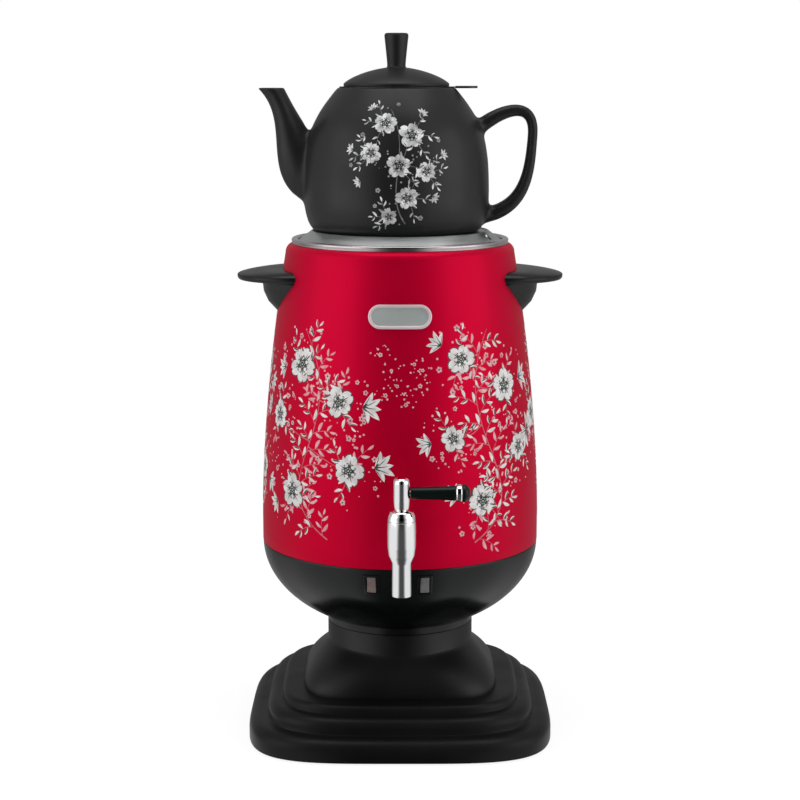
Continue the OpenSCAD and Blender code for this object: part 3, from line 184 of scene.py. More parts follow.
def weld(mesh, drop_slivers):
    """Merges doubled points and turns all normals outward."""
    work = bmesh.new()
    work.from_mesh(mesh)
    bmesh.ops.remove_doubles(work, verts=work.verts, dist=MERGE_DISTANCE)
    if drop_slivers:
        bmesh.ops.dissolve_degenerate(work, edges=work.edges, dist=MERGE_DISTANCE / 2)
    bmesh.ops.recalc_face_normals(work, faces=work.faces)
    work.to_mesh(mesh)
    work.free()


def dress(mesh, name, material, body, replaces=(), sharp=32):
    """The mesh as a piece of a body, smooth but for edges above an angle in degrees."""
    weld(mesh, True)
    mesh.materials.clear()
    mesh.materials.append(material)
    for p in mesh.polygons:
        p.use_smooth = True
    mesh.set_sharp_from_angle(angle=math.radians(sharp))
    piece = linked(mesh, name)
    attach(piece, body)
    if replaces:
        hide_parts(*replaces)
    return piece


def finish_mesh(name, verts, faces, material, body, slot, replaces=(), sharp=32, matrix=None):
    return dress(mesh_of(name, verts, faces, matrix), name, material, body, replaces, sharp)


def grid_faces(rows, columns, wrap_rows=False):
    """Faces between neighbouring rows of points. Each row closes on itself."""
    faces = []
    for i in range(rows if wrap_rows else rows - 1):
        low, high = i * columns, (i + 1) % rows * columns
        for j in range(columns):
            k = (j + 1) % columns
            faces.append((low + j, low + k, high + k, high + j))
    return faces


def capped(rows, columns):
    """Faces of a tube of rows with both ends closed."""
    last = (rows - 1) * columns
    ends = [tuple(range(columns)), tuple(reversed(range(last, last + columns)))]
    return grid_faces(rows, columns) + ends


def lathe(profile, sides):
    """Points and faces of an outline of (radius, z) turned round the z axis."""
    turns = [2 * math.pi * i / sides for i in range(sides)]
    verts = [(r * math.cos(a), r * math.sin(a), z) for a in turns for r, z in profile]
    return verts, grid_faces(sides, len(profile), True)


def square_turned(profile, sides=288):
    """An outline of (half width, z, squareness, depth ratio) turned along a rounded square."""
    verts = []
    for i in range(sides):
        a = 2 * math.pi * i / sides
        c, s = abs(math.cos(a)), abs(math.sin(a))
        for half_w, z, n, k in profile:
            r = half_w * (c**n + s**n) ** (-1 / n)
            verts.append((r * math.cos(a), r * k * math.sin(a), z))
    return verts, grid_faces(sides, len(profile), True)


def rounded(points, radius, steps=6):
    """The closed outline with its corners rounded. A third value in a point is its own radius."""
    out = []
    for i, p in enumerate(points):
        r = p[2] if len(p) > 2 else radius
        trio = (points[i - 1], p, points[(i + 1) % len(points)])
        before, here, after = (np.array(q[:2], float) for q in trio)
        one, two = before - here, after - here
        la, lb = np.linalg.norm(one), np.linalg.norm(two)
        if r <= 0 or min(la, lb) < 1e-6 or abs(here[0]) < 1e-6:
            out.append(tuple(here))
            continue
        one, two = one / la, two / lb
        turn = math.acos(max(-1, min(1, float(one @ two))))
        if turn > math.radians(NEARLY_STRAIGHT):
            out.append(tuple(here))
            continue
        t = min(r / math.tan(turn / 2), CORNER_SHARE * la, CORNER_SHARE * lb)
        start, end = here + one * t, here + two * t
        for k in range(steps + 1):
            s = k / steps
            out.append(tuple((1 - s) ** 2 * start + 2 * s * (1 - s) * here + s * s * end))
    return out


def helper_mesh(verts, faces, matrix=None):
    """A helper object for booleans, which isn't a piece."""
    mesh = mesh_of("helper", verts, faces, matrix)
    weld(mesh, False)
    return linked(mesh)


def combined(base, tools):
    """The mesh of base after each (operation, helper) in tools. The helpers are removed."""
    for operation, tool in tools:
        m = base.modifiers.new("cut", "BOOLEAN")
        m.operation = operation
        m.solver = "EXACT"
        m.object = tool
    graph = bpy.context.evaluated_depsgraph_get()
    mesh = bpy.data.meshes.new_from_object(base.evaluated_get(graph))
    remove([base] + [tool for _, tool in tools])
    return mesh


def box(w, d, h, bevel, matrix):
    """A helper box centred on the matrix's origin, with rounded edges."""
    work = bmesh.new()
    bmesh.ops.create_cube(work, size=1.0)
    bmesh.ops.scale(work, vec=(w * MM, d * MM, h * MM), verts=work.verts)
    if bevel > 0:
        corners = work.edges[:] + work.verts[:]
        bmesh.ops.bevel(work, geom=corners, offset=bevel * MM, segments=3, profile=0.5, affect="EDGES")
    mesh = bpy.data.meshes.new("helper")
    work.to_mesh(mesh)
    work.free()
    scaled = matrix.copy()
    scaled.translation = matrix.translation * MM
    mesh.transform(scaled)
    return linked(mesh)


def prism(outline, levels, matrix):
    """A helper solid from one outline, at levels of (scale x, scale y, z)."""
    verts = [(x * sx, y * sy, z) for sx, sy, z in levels for x, y in outline]
    return helper_mesh(verts, capped(len(levels), len(outline)), matrix)


def cylinder(r, z0, z1, matrix, sides):
    return helper_mesh(*lathe([(0, z0), (r, z0), (r, z1), (0, z1)], sides), matrix)


def joined(helpers):
    """One mesh of several helpers, which are removed."""
    work = bmesh.new()
    for helper in helpers:
        work.from_mesh(helper.data)
    mesh = bpy.data.meshes.new("joined")
    work.to_mesh(mesh)
    work.free()
    remove(helpers)
    return mesh


def rounded_box_outline(w, h, r, steps=6):
    points = []
    for cx, cy, a in ((1, 1, 0), (-1, 1, 90), (-1, -1, 180), (1, -1, 270)):
        points += arc((cx * (w / 2 - r), cy * (h / 2 - r)), r, a, a + 90, steps)
    return points


def stadium_outline(w, h, steps=10, straight=12):
    """Starts at its right end, so that points k and -k mirror each other across the long axis."""
    r = h / 2
    x = (w - h) / 2
    across = [mix(x, -x, i / straight) for i in range(1, straight)]
    points = arc((x, 0), r, 0, 90, steps) + [(q, r) for q in across]
    points += arc((-x, 0), r, 90, 270, 2 * steps) + [(-q, -r) for q in across]
    return points + arc((x, 0), r, 270, 360, steps)[:-1]


def turned(axis, degrees):
    return Matrix.Rotation(math.radians(degrees), 4, axis)


def moved(x, y, z):
    return Matrix.Translation((x, y, z))


def on_bowl(turn, z):
    """Local +Z along the bowl's outward normal and +Y up its wall."""
    return turned("Z", turn) @ moved(0, -bowl_radius(z), z) @ turned("X", 90 + math.degrees(bowl_tilt(z)))


# --- Materials


class Nodes:
    """What the node trees of materials, world and floor have in common."""

    def __init__(self, owner):
        owner.use_nodes = True
        self.tree = owner.node_tree

    def node(self, kind, **values):
        """A node. Each value goes to the property or the input of that name."""
        made = self.tree.nodes.new(kind)
        for key, value in values.items():
            if hasattr(made, key):
                setattr(made, key, value)
            else:
                made.inputs[key.replace("_", " ")].default_value = value
        return made

    def link(self, a, b):
        self.tree.links.new(a, b)

    def spread(self, value, low, high, start=0.3, end=0.7, kind="LINEAR"):
        """The value's range from start to end, spread over low to high."""
        sizes = {"From_Min": start, "From_Max": end, "To_Min": low, "To_Max": high}
        made = self.node("ShaderNodeMapRange", interpolation_type=kind, **sizes)
        self.link(value, made.inputs["Value"])
        return made.outputs["Result"]


class Shader(Nodes):
    """A node material with a Principled shader."""

    def __init__(self, name, **sockets):
        self.material = bpy.data.materials.new(name)
        super().__init__(self.material)
        self.shader = self.tree.nodes["Principled BSDF"]
        for key, value in sockets.items():
            self.shader.inputs[key.replace("_", " ")].default_value = value
        self.coordinates = self.node("ShaderNodeTexCoord").outputs["Object"]

    def noise(self, scale, detail=4.0, stretch=None):
        made = self.node("ShaderNodeTexNoise", Scale=scale, Detail=detail, Roughness=0.55)
        vector = self.coordinates
        if stretch:
            mapping = self.node("ShaderNodeMapping", Scale=stretch)
            self.link(vector, mapping.inputs["Vector"])
            vector = mapping.outputs["Vector"]
        self.link(vector, made.inputs["Vector"])
        return made.outputs["Fac"]

    def colour(self, value, low, high, start=0.35, end=0.65):
        """The base colour, from low to high along the value."""
        made = self.node("ShaderNodeValToRGB")
        for stop, place, shade in zip(made.color_ramp.elements, (start, end), (low, high)):
            stop.position = place
            stop.color = (*shade, 1)
        self.link(value, made.inputs["Fac"])
        self.link(made.outputs["Color"], self.shader.inputs["Base Color"])

    def roughness(self, value, low, high):
        self.link(self.spread(value, low, high), self.shader.inputs["Roughness"])

    def bump(self, *heights):
        """Bumps as (value, strength, distance in mm), one over the other."""
        last = None
        for value, strength, distance in heights:
            made = self.node("ShaderNodeBump", Strength=strength, Distance=distance * MM)
            self.link(value, made.inputs["Height"])
            if last is not None:
                self.link(last, made.inputs["Normal"])
            last = made.outputs["Normal"]
        self.link(last, self.shader.inputs["Normal"])


def plastic(name, low, high, rough, grain=900.0, bump=0.12, specular=0.5):
    """Moulded plastic: slightly uneven colour, fine spark grain and faint handling marks."""
    s = Shader(name, Specular_IOR_Level=specular)
    s.colour(s.noise(14.0, 5.0), low, high)
    s.roughness(s.noise(30.0), rough - 0.05, rough + 0.05)
    s.bump((s.noise(grain, 3.0), bump, 0.05), (s.noise(6.0, 2.0), 0.08, 0.4))
    return s.material


def metal(name, low, high, rough, streaks=None, bump=0.05, metallic=1.0):
    """Metal with faint colour change and, with streaks, a brushed grain along one axis."""
    s = Shader(name, Metallic=metallic)
    s.colour(s.noise(18.0), low, high)
    fine = s.noise(60.0, 6.0, streaks) if streaks else s.noise(500.0, 3.0)
    s.roughness(fine, rough * 0.75, rough * 1.3)
    s.bump((fine, bump, 0.03))
    return s.material


def red_paint():
    """Candy red: a red metallic layer under clear lacquer, with a faint orange-peel."""
    s = Shader("red_lacquer", Metallic=0.4, Coat_Weight=0.02, Coat_Roughness=0.1, Specular_IOR_Level=0.02)
    s.colour(s.noise(7.0, 3.0), (0.57, 0.0003, 0.026), (0.63, 0.0005, 0.034))
    s.roughness(s.noise(30.0, 3.0), 0.38, 0.46)
    s.bump((s.noise(180.0, 2.0), 0.03, 0.04))
    return s.material


def ceramic():
    """Black stoneware with a thin satin glaze: soft mottling, tiny pits and slow waves."""
    s = Shader("black_ceramic", Specular_IOR_Level=0.25, Coat_Weight=0.05, Coat_Roughness=0.25)
    s.colour(s.noise(22.0, 6.0), (0.011, 0.011, 0.0114), (0.018, 0.018, 0.0184))
    s.roughness(s.noise(35.0, 5.0), 0.36, 0.47)
    s.bump((s.noise(700.0, 3.0), 0.1, 0.05), (s.noise(12.0, 2.0), 0.12, 0.5))
    return s.material


def rocker_plastic(name, low, high):
    """Smooth switch plastic with a clear gloss."""
    s = Shader(name, Coat_Weight=0.4, Coat_Roughness=0.08)
    s.colour(s.noise(120.0, 3.0), low, high)
    s.roughness(s.noise(200.0, 3.0), 0.22, 0.32)
    s.bump((s.noise(900.0, 2.0), 0.06, 0.03))
    return s.material


def enamel(name, low, high):
    """Screen-printed enamel: slightly uneven cover with a soft gloss."""
    s = Shader(name, Specular_IOR_Level=0.35)
    s.colour(s.noise(170.0), low, high, 0.38, 0.62)
    s.roughness(s.noise(150.0, 3.0), 0.34, 0.46)
    s.bump((s.noise(1200.0, 2.0), 0.08, 0.02))
    return s.material


def grey(shade):
    return shade, shade, shade


MAT = {
    "red": red_paint(),
    "ceramic": ceramic(),
    "rocker_left": rocker_plastic("rocker_amber", (0.14, 0.10, 0.088), (0.22, 0.17, 0.155)),
    "rocker_right": rocker_plastic("rocker_grey", grey(0.115), grey(0.17)),
    "base": plastic("moulded_black", (0.005, 0.005, 0.0051), (0.0075, 0.0075, 0.0077), 0.42, specular=0.16),
    "pedestal": plastic("satin_black", (0.003, 0.003, 0.0031), (0.0045, 0.0045, 0.0047), 0.42, specular=0.3),
    "bowl": plastic("gloss_black", (0.002, 0.0025, 0.0025), (0.004, 0.0048, 0.0048), 0.24, 900, 0.04, 0.32),
    "handle": plastic(
        "heatproof_black", (0.004, 0.0042, 0.0042), (0.008, 0.0084, 0.0084), 0.34, specular=0.3
    ),
    "lever": plastic("lever_black", (0.002, 0.006, 0.004), (0.004, 0.011, 0.0075), 0.3, specular=0.25),
    "inlet": plastic("socket_black", grey(0.009), grey(0.014), 0.45),
    "rubber": plastic("rubber", grey(0.012), grey(0.022), 0.75, 500.0, 0.3),
    "silicone": plastic("silicone", (0.62, 0.61, 0.57), (0.72, 0.71, 0.67), 0.55, bump=0.1),
    "white": plastic("ceramic_white", (0.66, 0.65, 0.6), (0.78, 0.77, 0.72), 0.45, bump=0.1),
    "insulation": plastic("wire_cover", (0.05, 0.05, 0.055), (0.09, 0.09, 0.1), 0.5),
    "chrome": metal("chrome", (0.88, 0.88, 0.89), (0.95, 0.95, 0.96), 0.09),
    # The rolled rim's pink tint is painted reflection of the red casing; the metal under it is plain
    # polished steel colour
    "ring": metal("polished_rim_painted_red_reflection", (0.48, 0.425, 0.44), (0.55, 0.49, 0.505), 0.2),
    "lid": metal("spun_steel", (0.46, 0.49, 0.48), (0.56, 0.58, 0.57), 0.36, (0.4, 0.4, 6), 0.015),
    "steel": metal("sheet_steel", (0.54, 0.54, 0.55), (0.66, 0.66, 0.67), 0.32, (1, 1, 20), 0.1, 0.7),
    "zinc": metal("zinc_plate", (0.42, 0.42, 0.4), (0.62, 0.62, 0.6), 0.36),
    "aluminium": metal("cast_aluminium", (0.6, 0.6, 0.61), (0.74, 0.74, 0.75), 0.4),
    "brass": metal("brass", (0.62, 0.43, 0.17), (0.76, 0.55, 0.26), 0.3),
    "dark_steel": metal("strainer_steel", (0.03, 0.03, 0.031), (0.06, 0.06, 0.061), 0.45),
    "badge": metal("badge_silver", (0.74, 0.6, 0.63), (0.84, 0.7, 0.73), 0.42, None, 0.0, 0.3),
    "badge_face": metal("badge_centre", (0.36, 0.40, 0.38), (0.45, 0.49, 0.47), 0.5, None, 0.02, 0.2),
}

# Every CAD node that stays in view, or inside, takes one of the materials
CARRIED = {
    "rubber": "foot_ring valve_o_rings",
    "base": "bottom_cover",
    "zinc": "clamp_plate tie_rod tie_rod_nuts tank_support_plate element_bracket handle_screws lever_rod",
    "aluminium": "heating_plate",
    "steel": "water_tank heating_element strainer_basket",
    "white": "terminal_block thermostat thermal_cutout",
    "insulation": "wiring",
    "brass": "tap_nut",
    "silicone": "tap_gasket_outer tap_gasket_inner",
    "chrome": "inlet_pins",
}
for key, names in CARRIED.items():
    for name in names.split():
        NODES[name].data.materials.clear()
        NODES[name].data.materials.append(MAT[key])

# --- Base and pedestal

COVE = 1.3


def step_edge(step, inset):
    """The rounded upper edge of one step of the base."""
    r = STEP_ROUND[step]
    return arc((STEP_HALF_W[step] - r, STEP_Z[step] - r), r - inset, 0, 90, 8)


def base_outline():
    w1, w2, w3 = STEP_HALF_W
    z1, z2, z3 = STEP_Z
    t = MOULDED_WALL
    lift = COVE * 0.3
    outer = [(w1 - 0.6, SKIRT_GAP), (w1 - 0.15, SKIRT_GAP + 0.2), (w1, SKIRT_GAP + 0.7)] + step_edge(0, 0)
    outer += [(w2 + COVE, z1), (w2 + lift, z1 + lift), (w2, z1 + COVE)] + step_edge(1, 0)
    outer += [(w3 + COVE, z2), (w3 + lift, z2 + lift)] + step_edge(2, 0)
    inner = step_edge(2, t)[::-1] + [(w3 - t, z2 - t)] + step_edge(1, t)[::-1] + [(w2 - t, z1 - t)]
    inner += step_edge(0, t)[::-1] + [(w1 - t, SKIRT_GAP)]
    mouth = [(BASE_OPENING_R, z3, 2, 1), (BASE_OPENING_R, z3 - t, 2, 1)]
    outer, inner = ([(w, z, SQUARENESS, DEPTH_RATIO) for w, z in side] for side in (outer, inner))
    return outer + mouth + inner


base = square_turned(base_outline())
finish_mesh("base_shell", *base, MAT["base"], STAND, "base_plastic", ["base_housing"], 40)


def bell(t, inset):
    """The pedestal's wall, from the top step (t = 0) up to the round neck (t = 1)."""
    blend = smooth_step((1 - t) ** 0.75)
    return (
        mix(NECK_R, PEDESTAL_HALF_W, blend) - inset,
        mix(STEP_Z[2], NECK_Z - NECK_H, t),
        mix(2, SQUARENESS, blend),
        mix(1, DEPTH_RATIO, blend),
    )


def pedestal_outline(stations=30):
    t = MOULDED_WALL
    flange_r = NECK_R - t - 12
    rim = [(NECK_R, NECK_Z - 0.8), (NECK_R - 0.2, NECK_Z - 0.25), (NECK_R - 0.7, NECK_Z), (flange_r, NECK_Z)]
    rim += [(flange_r, NECK_Z - t), (NECK_R - t, NECK_Z - t)]
    outer = [bell(i / stations, 0) for i in range(stations + 1)]
    inner = [bell(i / stations, t) for i in range(stations, -1, -1)]
    return outer + [(r, z, 2, 1) for r, z in rim] + inner


pedestal = square_turned(pedestal_outline())
finish_mesh("pedestal_shell", *pedestal, MAT["pedestal"], STAND, "base_plastic", ["pedestal"], 40)

# --- Bowl, switches and inlet

BEZEL_W, BEZEL_H, BEZEL_T = 10.2, 14.2, 1.4
SWITCH_SEAT = -0.9
SWITCH_FACE = SWITCH_SEAT + BEZEL_T
SWITCH_DEPTH = 14.0
ROCKER_PIVOT = SWITCH_FACE - 2.8
ROCKER_HALF_L = 5.25
ROCKER_HALF_W = 5.75 / 2
ROCKER_TOP = 2.6
ROCKER_TILT = 9
INLET_PLACE = on_bowl(180, INLET_Z)
INLET_SCREW_X = (-20, 20)
INLET_W, INLET_H, INLET_FACE = 50, 22.5, 4.5


def bowl_outline():
    low = SEAM_Z - (BOWL_H - BOWL_COLLAR_H)
    heights = [low + (SEAM_Z - 0.5 - low) * i / 48 for i in range(49)]
    wall = [(bowl_radius(z), z) for z in heights]
    inner_r = BOWL_RIM_R - BOWL_WALL
    half_h = BOWL_HALF_H - BOWL_WALL
    floor_r = NECK_R - BOWL_WALL
    z0 = SEAM_Z - half_h * math.sqrt(1 - (floor_r / inner_r) ** 2)
    heights = [mix(SEAM_Z, z0, i / 24) for i in range(25)]
    inside = [(inner_r * math.sqrt(max(0, 1 - ((SEAM_Z - z) / half_h) ** 2)), z) for z in heights]
    top = [(BOWL_R - 0.15, SEAM_Z - 0.15), (BOWL_R - 0.5, SEAM_Z), (BOWL_RIM_R, SEAM_Z)]
    top += [(BOWL_RIM_R, PLATE_Z), (inner_r, PLATE_Z)]
    start = [(0, NECK_Z), (NECK_R - 0.6, NECK_Z), (NECK_R - 0.15, NECK_Z + 0.2), (NECK_R, NECK_Z + 0.7)]
    end = [(floor_r, NECK_Z + BOWL_WALL), (0, NECK_Z + BOWL_WALL)]
    return start + wall + top + inside + end


def bowl_piece():
    boss_levels = [(1, 1, -10.5), (1, 1, 1.1), (0.997, 0.994, 1.4), (0.99, 0.985, 1.5)]
    tools = [("UNION", prism(rounded_box_outline(54, 26.5, 4), boss_levels, INLET_PLACE))]
    pocket = rounded_box_outline(BEZEL_W + 0.3, BEZEL_H + 0.3, 0.8)
    for turn in SWITCH_TURN.values():
        tools.append(("DIFFERENCE", prism(pocket, [(1, 1, -16.5), (1, 1, 8)], on_bowl(turn, SWITCH_Z))))
    tools.append(("DIFFERENCE", box(28, 20, 40, 0, INLET_PLACE @ moved(0, 0, -12))))
    mesh = combined(helper_mesh(*lathe(bowl_outline(), 288)), tools)
    dress(mesh, "bowl_shell", MAT["bowl"], STAND, ["lower_bowl"], 35)


def bezel_mesh(place):
    """A switch's frame: rim, housing, two contact lugs and the slot for the rocker."""
    levels = [(1, 1, SWITCH_SEAT), (1, 1, SWITCH_FACE - 0.45)]
    levels += [(0.985, 0.99, SWITCH_FACE - 0.12), (0.95, 0.965, SWITCH_FACE)]
    plate = prism(rounded_box_outline(BEZEL_W, BEZEL_H, 0.9), levels, place)
    back = box(8.8, 13.0, SWITCH_DEPTH + 0.4, 0.3, place @ moved(0, 0, SWITCH_SEAT - SWITCH_DEPTH / 2))
    levels = [(1, 1, SWITCH_FACE - 8), (1, 1, SWITCH_FACE - 0.3), (1.06, 1.04, SWITCH_FACE + 0.2)]
    slot = prism(rounded_box_outline(6.5, 11.6, 0.5), levels, place)
    tools = [("UNION", back), ("DIFFERENCE", slot)]
    for y in (-3.5, 3.5):
        lug = box(4, 0.8, 6.4, 0.15, place @ moved(0, y, SWITCH_SEAT - SWITCH_DEPTH - 2.8))
        tools.insert(1, ("UNION", lug))
    return combined(plate, tools)


def rocker_mesh(place):
    """A rocker with a hollow face and its trunnion, at its resting tilt."""
    half = ROCKER_HALF_L
    end_top = ROCKER_TOP + 5 * math.tan(math.radians(9))
    profile = [(-half, 0.4), (-2, -3), (2, -3), (half, 0.4), (half, end_top)]
    for s in (0.8, 0.6, 0.4, 0.2, 0, -0.2, -0.4, -0.6, -0.8):
        profile.append((half * s, mix(ROCKER_TOP, end_top, abs(s) ** 1.6)))
    soft = rounded(profile + [(-half, end_top)], 0.35, 3)
    levels = [(-ROCKER_HALF_W, 0.95), (-ROCKER_HALF_W + 0.15, 0.99), (-ROCKER_HALF_W + 0.4, 1.0)]
    levels += [(-x, s) for x, s in reversed(levels)]
    verts = [(x, p[0] * s, mix(0, p[1], s)) for x, s in levels for p in soft]
    at_pivot = place @ moved(0, 0, ROCKER_PIVOT) @ turned("X", -ROCKER_TILT)
    pin = cylinder(1.1, -4.4, 4.4, at_pivot @ turned("Y", 90), 48)
    return combined(helper_mesh(verts, capped(len(levels), len(soft)), at_pivot), [("UNION", pin)])


def screw(head_r, head_h, shank_r, shank_l, place):
    """A helper pan-head screw with a cross recess. Its head's seat is at z = 0 and it points down."""
    profile = [(0, -shank_l), (shank_r * 0.7, -shank_l), (shank_r, -shank_l + 0.8), (shank_r, 0)]
    profile += [(head_r, 0), (head_r, head_h * 0.35), (head_r * 0.86, head_h * 0.78)]
    profile += [(head_r * 0.5, head_h), (0, head_h)]
    head = helper_mesh(*lathe(rounded(profile, 0.2, 3), 48), place)
    middle = place @ moved(0, 0, head_h * 0.95)
    cuts = [box(head_r * 1.1, head_r * 0.24, head_h, 0, middle @ turned("Z", turn)) for turn in (0, 90)]
    return linked(combined(head, [("DIFFERENCE", cut) for cut in cuts]))


def inlet_piece():
    insets = [(0, 1.5), (0, 3.6), (0.15, 4.1), (0.5, 4.4), (0.9, INLET_FACE)]
    levels = [(1 - 2 * inset / INLET_W, 1 - 2 * inset / INLET_H, z) for inset, z in insets]
    flange = prism(stadium_outline(INLET_W, INLET_H), levels, INLET_PLACE)
    body = box(27.6, 19.6, 19.5, 0.6, INLET_PLACE @ moved(0, 0, -15.5 + 9.75))
    levels = [(1, 1, INLET_FACE - 16), (1, 1, INLET_FACE - 0.6)]
    levels += [(1.03, 1.045, INLET_FACE + 0.1), (1.03, 1.045, INLET_FACE + 3)]
    mouth = prism(rounded_box_outline(24.4, 16.4, 2.2), levels, INLET_PLACE)
    tools = [("UNION", body), ("DIFFERENCE", mouth)]
    for x in INLET_SCREW_X:
        tools.append(("DIFFERENCE", cylinder(1.6, -2, 8, INLET_PLACE @ moved(x, 0, 0), 48)))
    dress(combined(flange, tools), "inlet_socket", MAT["inlet"], STAND, ["power_inlet"], 35)


bowl_piece()
for side, turn in SWITCH_TURN.items():
    place = on_bowl(turn, SWITCH_Z)
    bezel, cap = bezel_mesh(place), rocker_mesh(place)
    node = f"rocker_{side}"
    slot = "rocker_amber" if side == "left" else "rocker_grey"
    dress(bezel, f"switch_bezel_{side}", MAT["bowl"], STAND, [f"switch_frame_{side}"], 30)
    dress(cap, f"rocker_cap_{side}", MAT[node], f"switch_{side}", [node], 40)
inlet_piece()
pieces = [screw(2.9, 1.8, 1.45, 7.9, INLET_PLACE @ moved(x, 0, INLET_FACE)) for x in INLET_SCREW_X]
dress(joined(pieces), "inlet_screw_heads", MAT["zinc"], STAND, ["inlet_screws"], 30)

# The cover's screws go into pillars in the base's corners
corner = (0.5 ** (SQUARENESS / 2) * 2) ** (-1 / SQUARENESS)
pillar_d = (STEP_HALF_W[1] - MOULDED_WALL) * corner + 4.5 + 1
pieces = []
for sx in (-1, 1):
    for sy in (-1, 1):
        x = sx * pillar_d * math.cos(math.pi / 4)
        y = sy * pillar_d * DEPTH_RATIO * math.sin(math.pi / 4)
        pieces.append(screw(3.2, 1.8, 1.65, 8.9, moved(x, y, 3) @ turned("X", 180)))
dress(joined(pieces), "cover_screw_heads", MAT["zinc"], STAND, ["cover_screws"], 30)

# --- Casing, ring and lid

SHEET_T = 1
TAP_HOLE_R = 6.8
LID_COLLAR_R = TANK_TOP_R - 0.8 - 0.7


def casing_outline():
    outer = [(CASING_R - 0.7, SEAM_Z), (CASING_R - 0.2, SEAM_Z + 0.2), (CASING_R, SEAM_Z + 0.7)]
    outer += [(CASING_R, SEAM_Z + 9), (CASING_R, WIDEST_Z)]
    heights = [mix(WIDEST_Z, SHOULDER_Z, i / 60) for i in range(1, 61)]
    outer += [(casing_radius(z), z) for z in heights]
    shoulder = (CASING_TOP_R - SHOULDER_R, SHOULDER_Z)
    opening_r = TANK_TOP_R + 0.6
    outer += arc(shoulder, SHOULDER_R, 8, 90, 10) + [(opening_r, CASING_Z), (opening_r, CASING_Z - SHEET_T)]
    inner = arc(shoulder, SHOULDER_R - SHEET_T, 90, 8, 6)
    heights = [mix(WIDEST_Z, SHOULDER_Z, i / 20) for i in range(20, -1, -1)]
    inner += [(casing_radius(z) - SHEET_T, z) for z in heights]
    return outer + inner + [(CASING_R - SHEET_T, SEAM_Z)]


def ring_outline():
    seat_r = TANK_TOP_R + 4.1
    bottom = [(RING_IN_R, RIM_Z), (seat_r, RIM_Z), (seat_r, CASING_Z), (RING_OUT_R - 0.3, CASING_Z)]
    roll = arc((RING_OUT_R - 1.4, RING_TOP_Z - 1.4), 1.4, -35, 90, 10)
    top = [(RING_IN_R + 0.9, RING_TOP_Z - 0.1), (RING_IN_R + 0.25, RING_TOP_Z - 0.6)]
    return bottom + roll + top + [(RING_IN_R, RING_TOP_Z - 1.2)]


def lid_outline():
    well_r = SEAT_R - 0.8
    inner_r = LID_COLLAR_R - LID_T
    outer = [(LID_COLLAR_R, RIM_Z - 6, 0.2), (LID_COLLAR_R, RIM_Z, 0.1), (LID_R, RIM_Z, 0.3)]
    outer += [(LID_R, RIM_Z + LID_T, 0.4), (LID_R - 1, RIM_Z + LID_T + 0.6, 1.0)]
    outer += [(SEAT_R + 1, SEAT_RIM_Z, 0.8), (SEAT_R, SEAT_RIM_Z, 0.3)]
    outer += [(well_r, SEAT_Z, 0.4), (LID_OPENING_R, SEAT_Z, 0.4)]
    inner = [(LID_OPENING_R, SEAT_Z - LID_T, 0.3), (well_r - LID_T / 2, SEAT_Z - LID_T, 0.5)]
    inner += [(SEAT_R + 0.4, SEAT_RIM_Z - LID_T - 0.6, 0.6), (inner_r, RIM_Z + LID_T * 0.4, 0.5)]
    return outer + inner + [(inner_r, RIM_Z - 6, 0.2)]


hole = cylinder(TAP_HOLE_R, 60, 140, moved(TAP[0], 0, TAP[2]) @ turned("X", 90), 64)
mesh = combined(helper_mesh(*lathe(casing_outline(), 360)), [("DIFFERENCE", hole)])
dress(mesh, "casing_shell", MAT["red"], STAND, ["outer_casing"], 35)
finish_mesh("rolled_rim", *lathe(ring_outline(), 288), MAT["ring"], STAND, "chrome", ["top_ring"])
vents = []
for turn in (VENT_TURN, VENT_TURN + 180):
    vent_place = turned("Z", turn) @ moved((SEAT_R + LID_R) / 2, 0, 0)
    vents.append(("DIFFERENCE", cylinder(VENT_R, 334, 360, vent_place, 40)))
mesh = combined(helper_mesh(*lathe(rounded(lid_outline(), 0.3, 4), 240)), vents)
dress(mesh, "lid_cone", MAT["lid"], "tank_cover", ["tank_lid"], 30)

# --- Side handles

BRACKET_H = 22
BRACKET_REACH = 13.5
BRACKET_SHARE = 0.985
BRACKET_COVE = 1.6
ROOT_X = math.sqrt(casing_radius(HANDLE_Z) ** 2 - WING_HALF_L**2) - 1


def handle_ring(z, reach, half_l, across=56, along=24):
    """One level of a handle: its outer arc, then back along the casing."""
    wall_r = casing_radius(z) + 0.12

    def outer_point(t):
        return ROOT_X + reach * math.cos(t), half_l * math.sin(t)

    # The angle at which the arc meets the casing
    low, high = 0.0, math.pi / 2
    if math.hypot(*outer_point(high)) >= wall_r:
        low = high
    for _ in range(40):
        middle = (low + high) / 2
        if math.hypot(*outer_point(middle)) > wall_r:
            low = middle
        else:
            high = middle
    spread = math.asin(min(1, outer_point(low)[1] / wall_r))
    points = [outer_point(mix(-low, low, i / across)) for i in range(across + 1)]
    points += [around(0, 0, wall_r, mix(spread, -spread, i / along)) for i in range(1, along)]
    return [(x, y, z) for x, y in points]


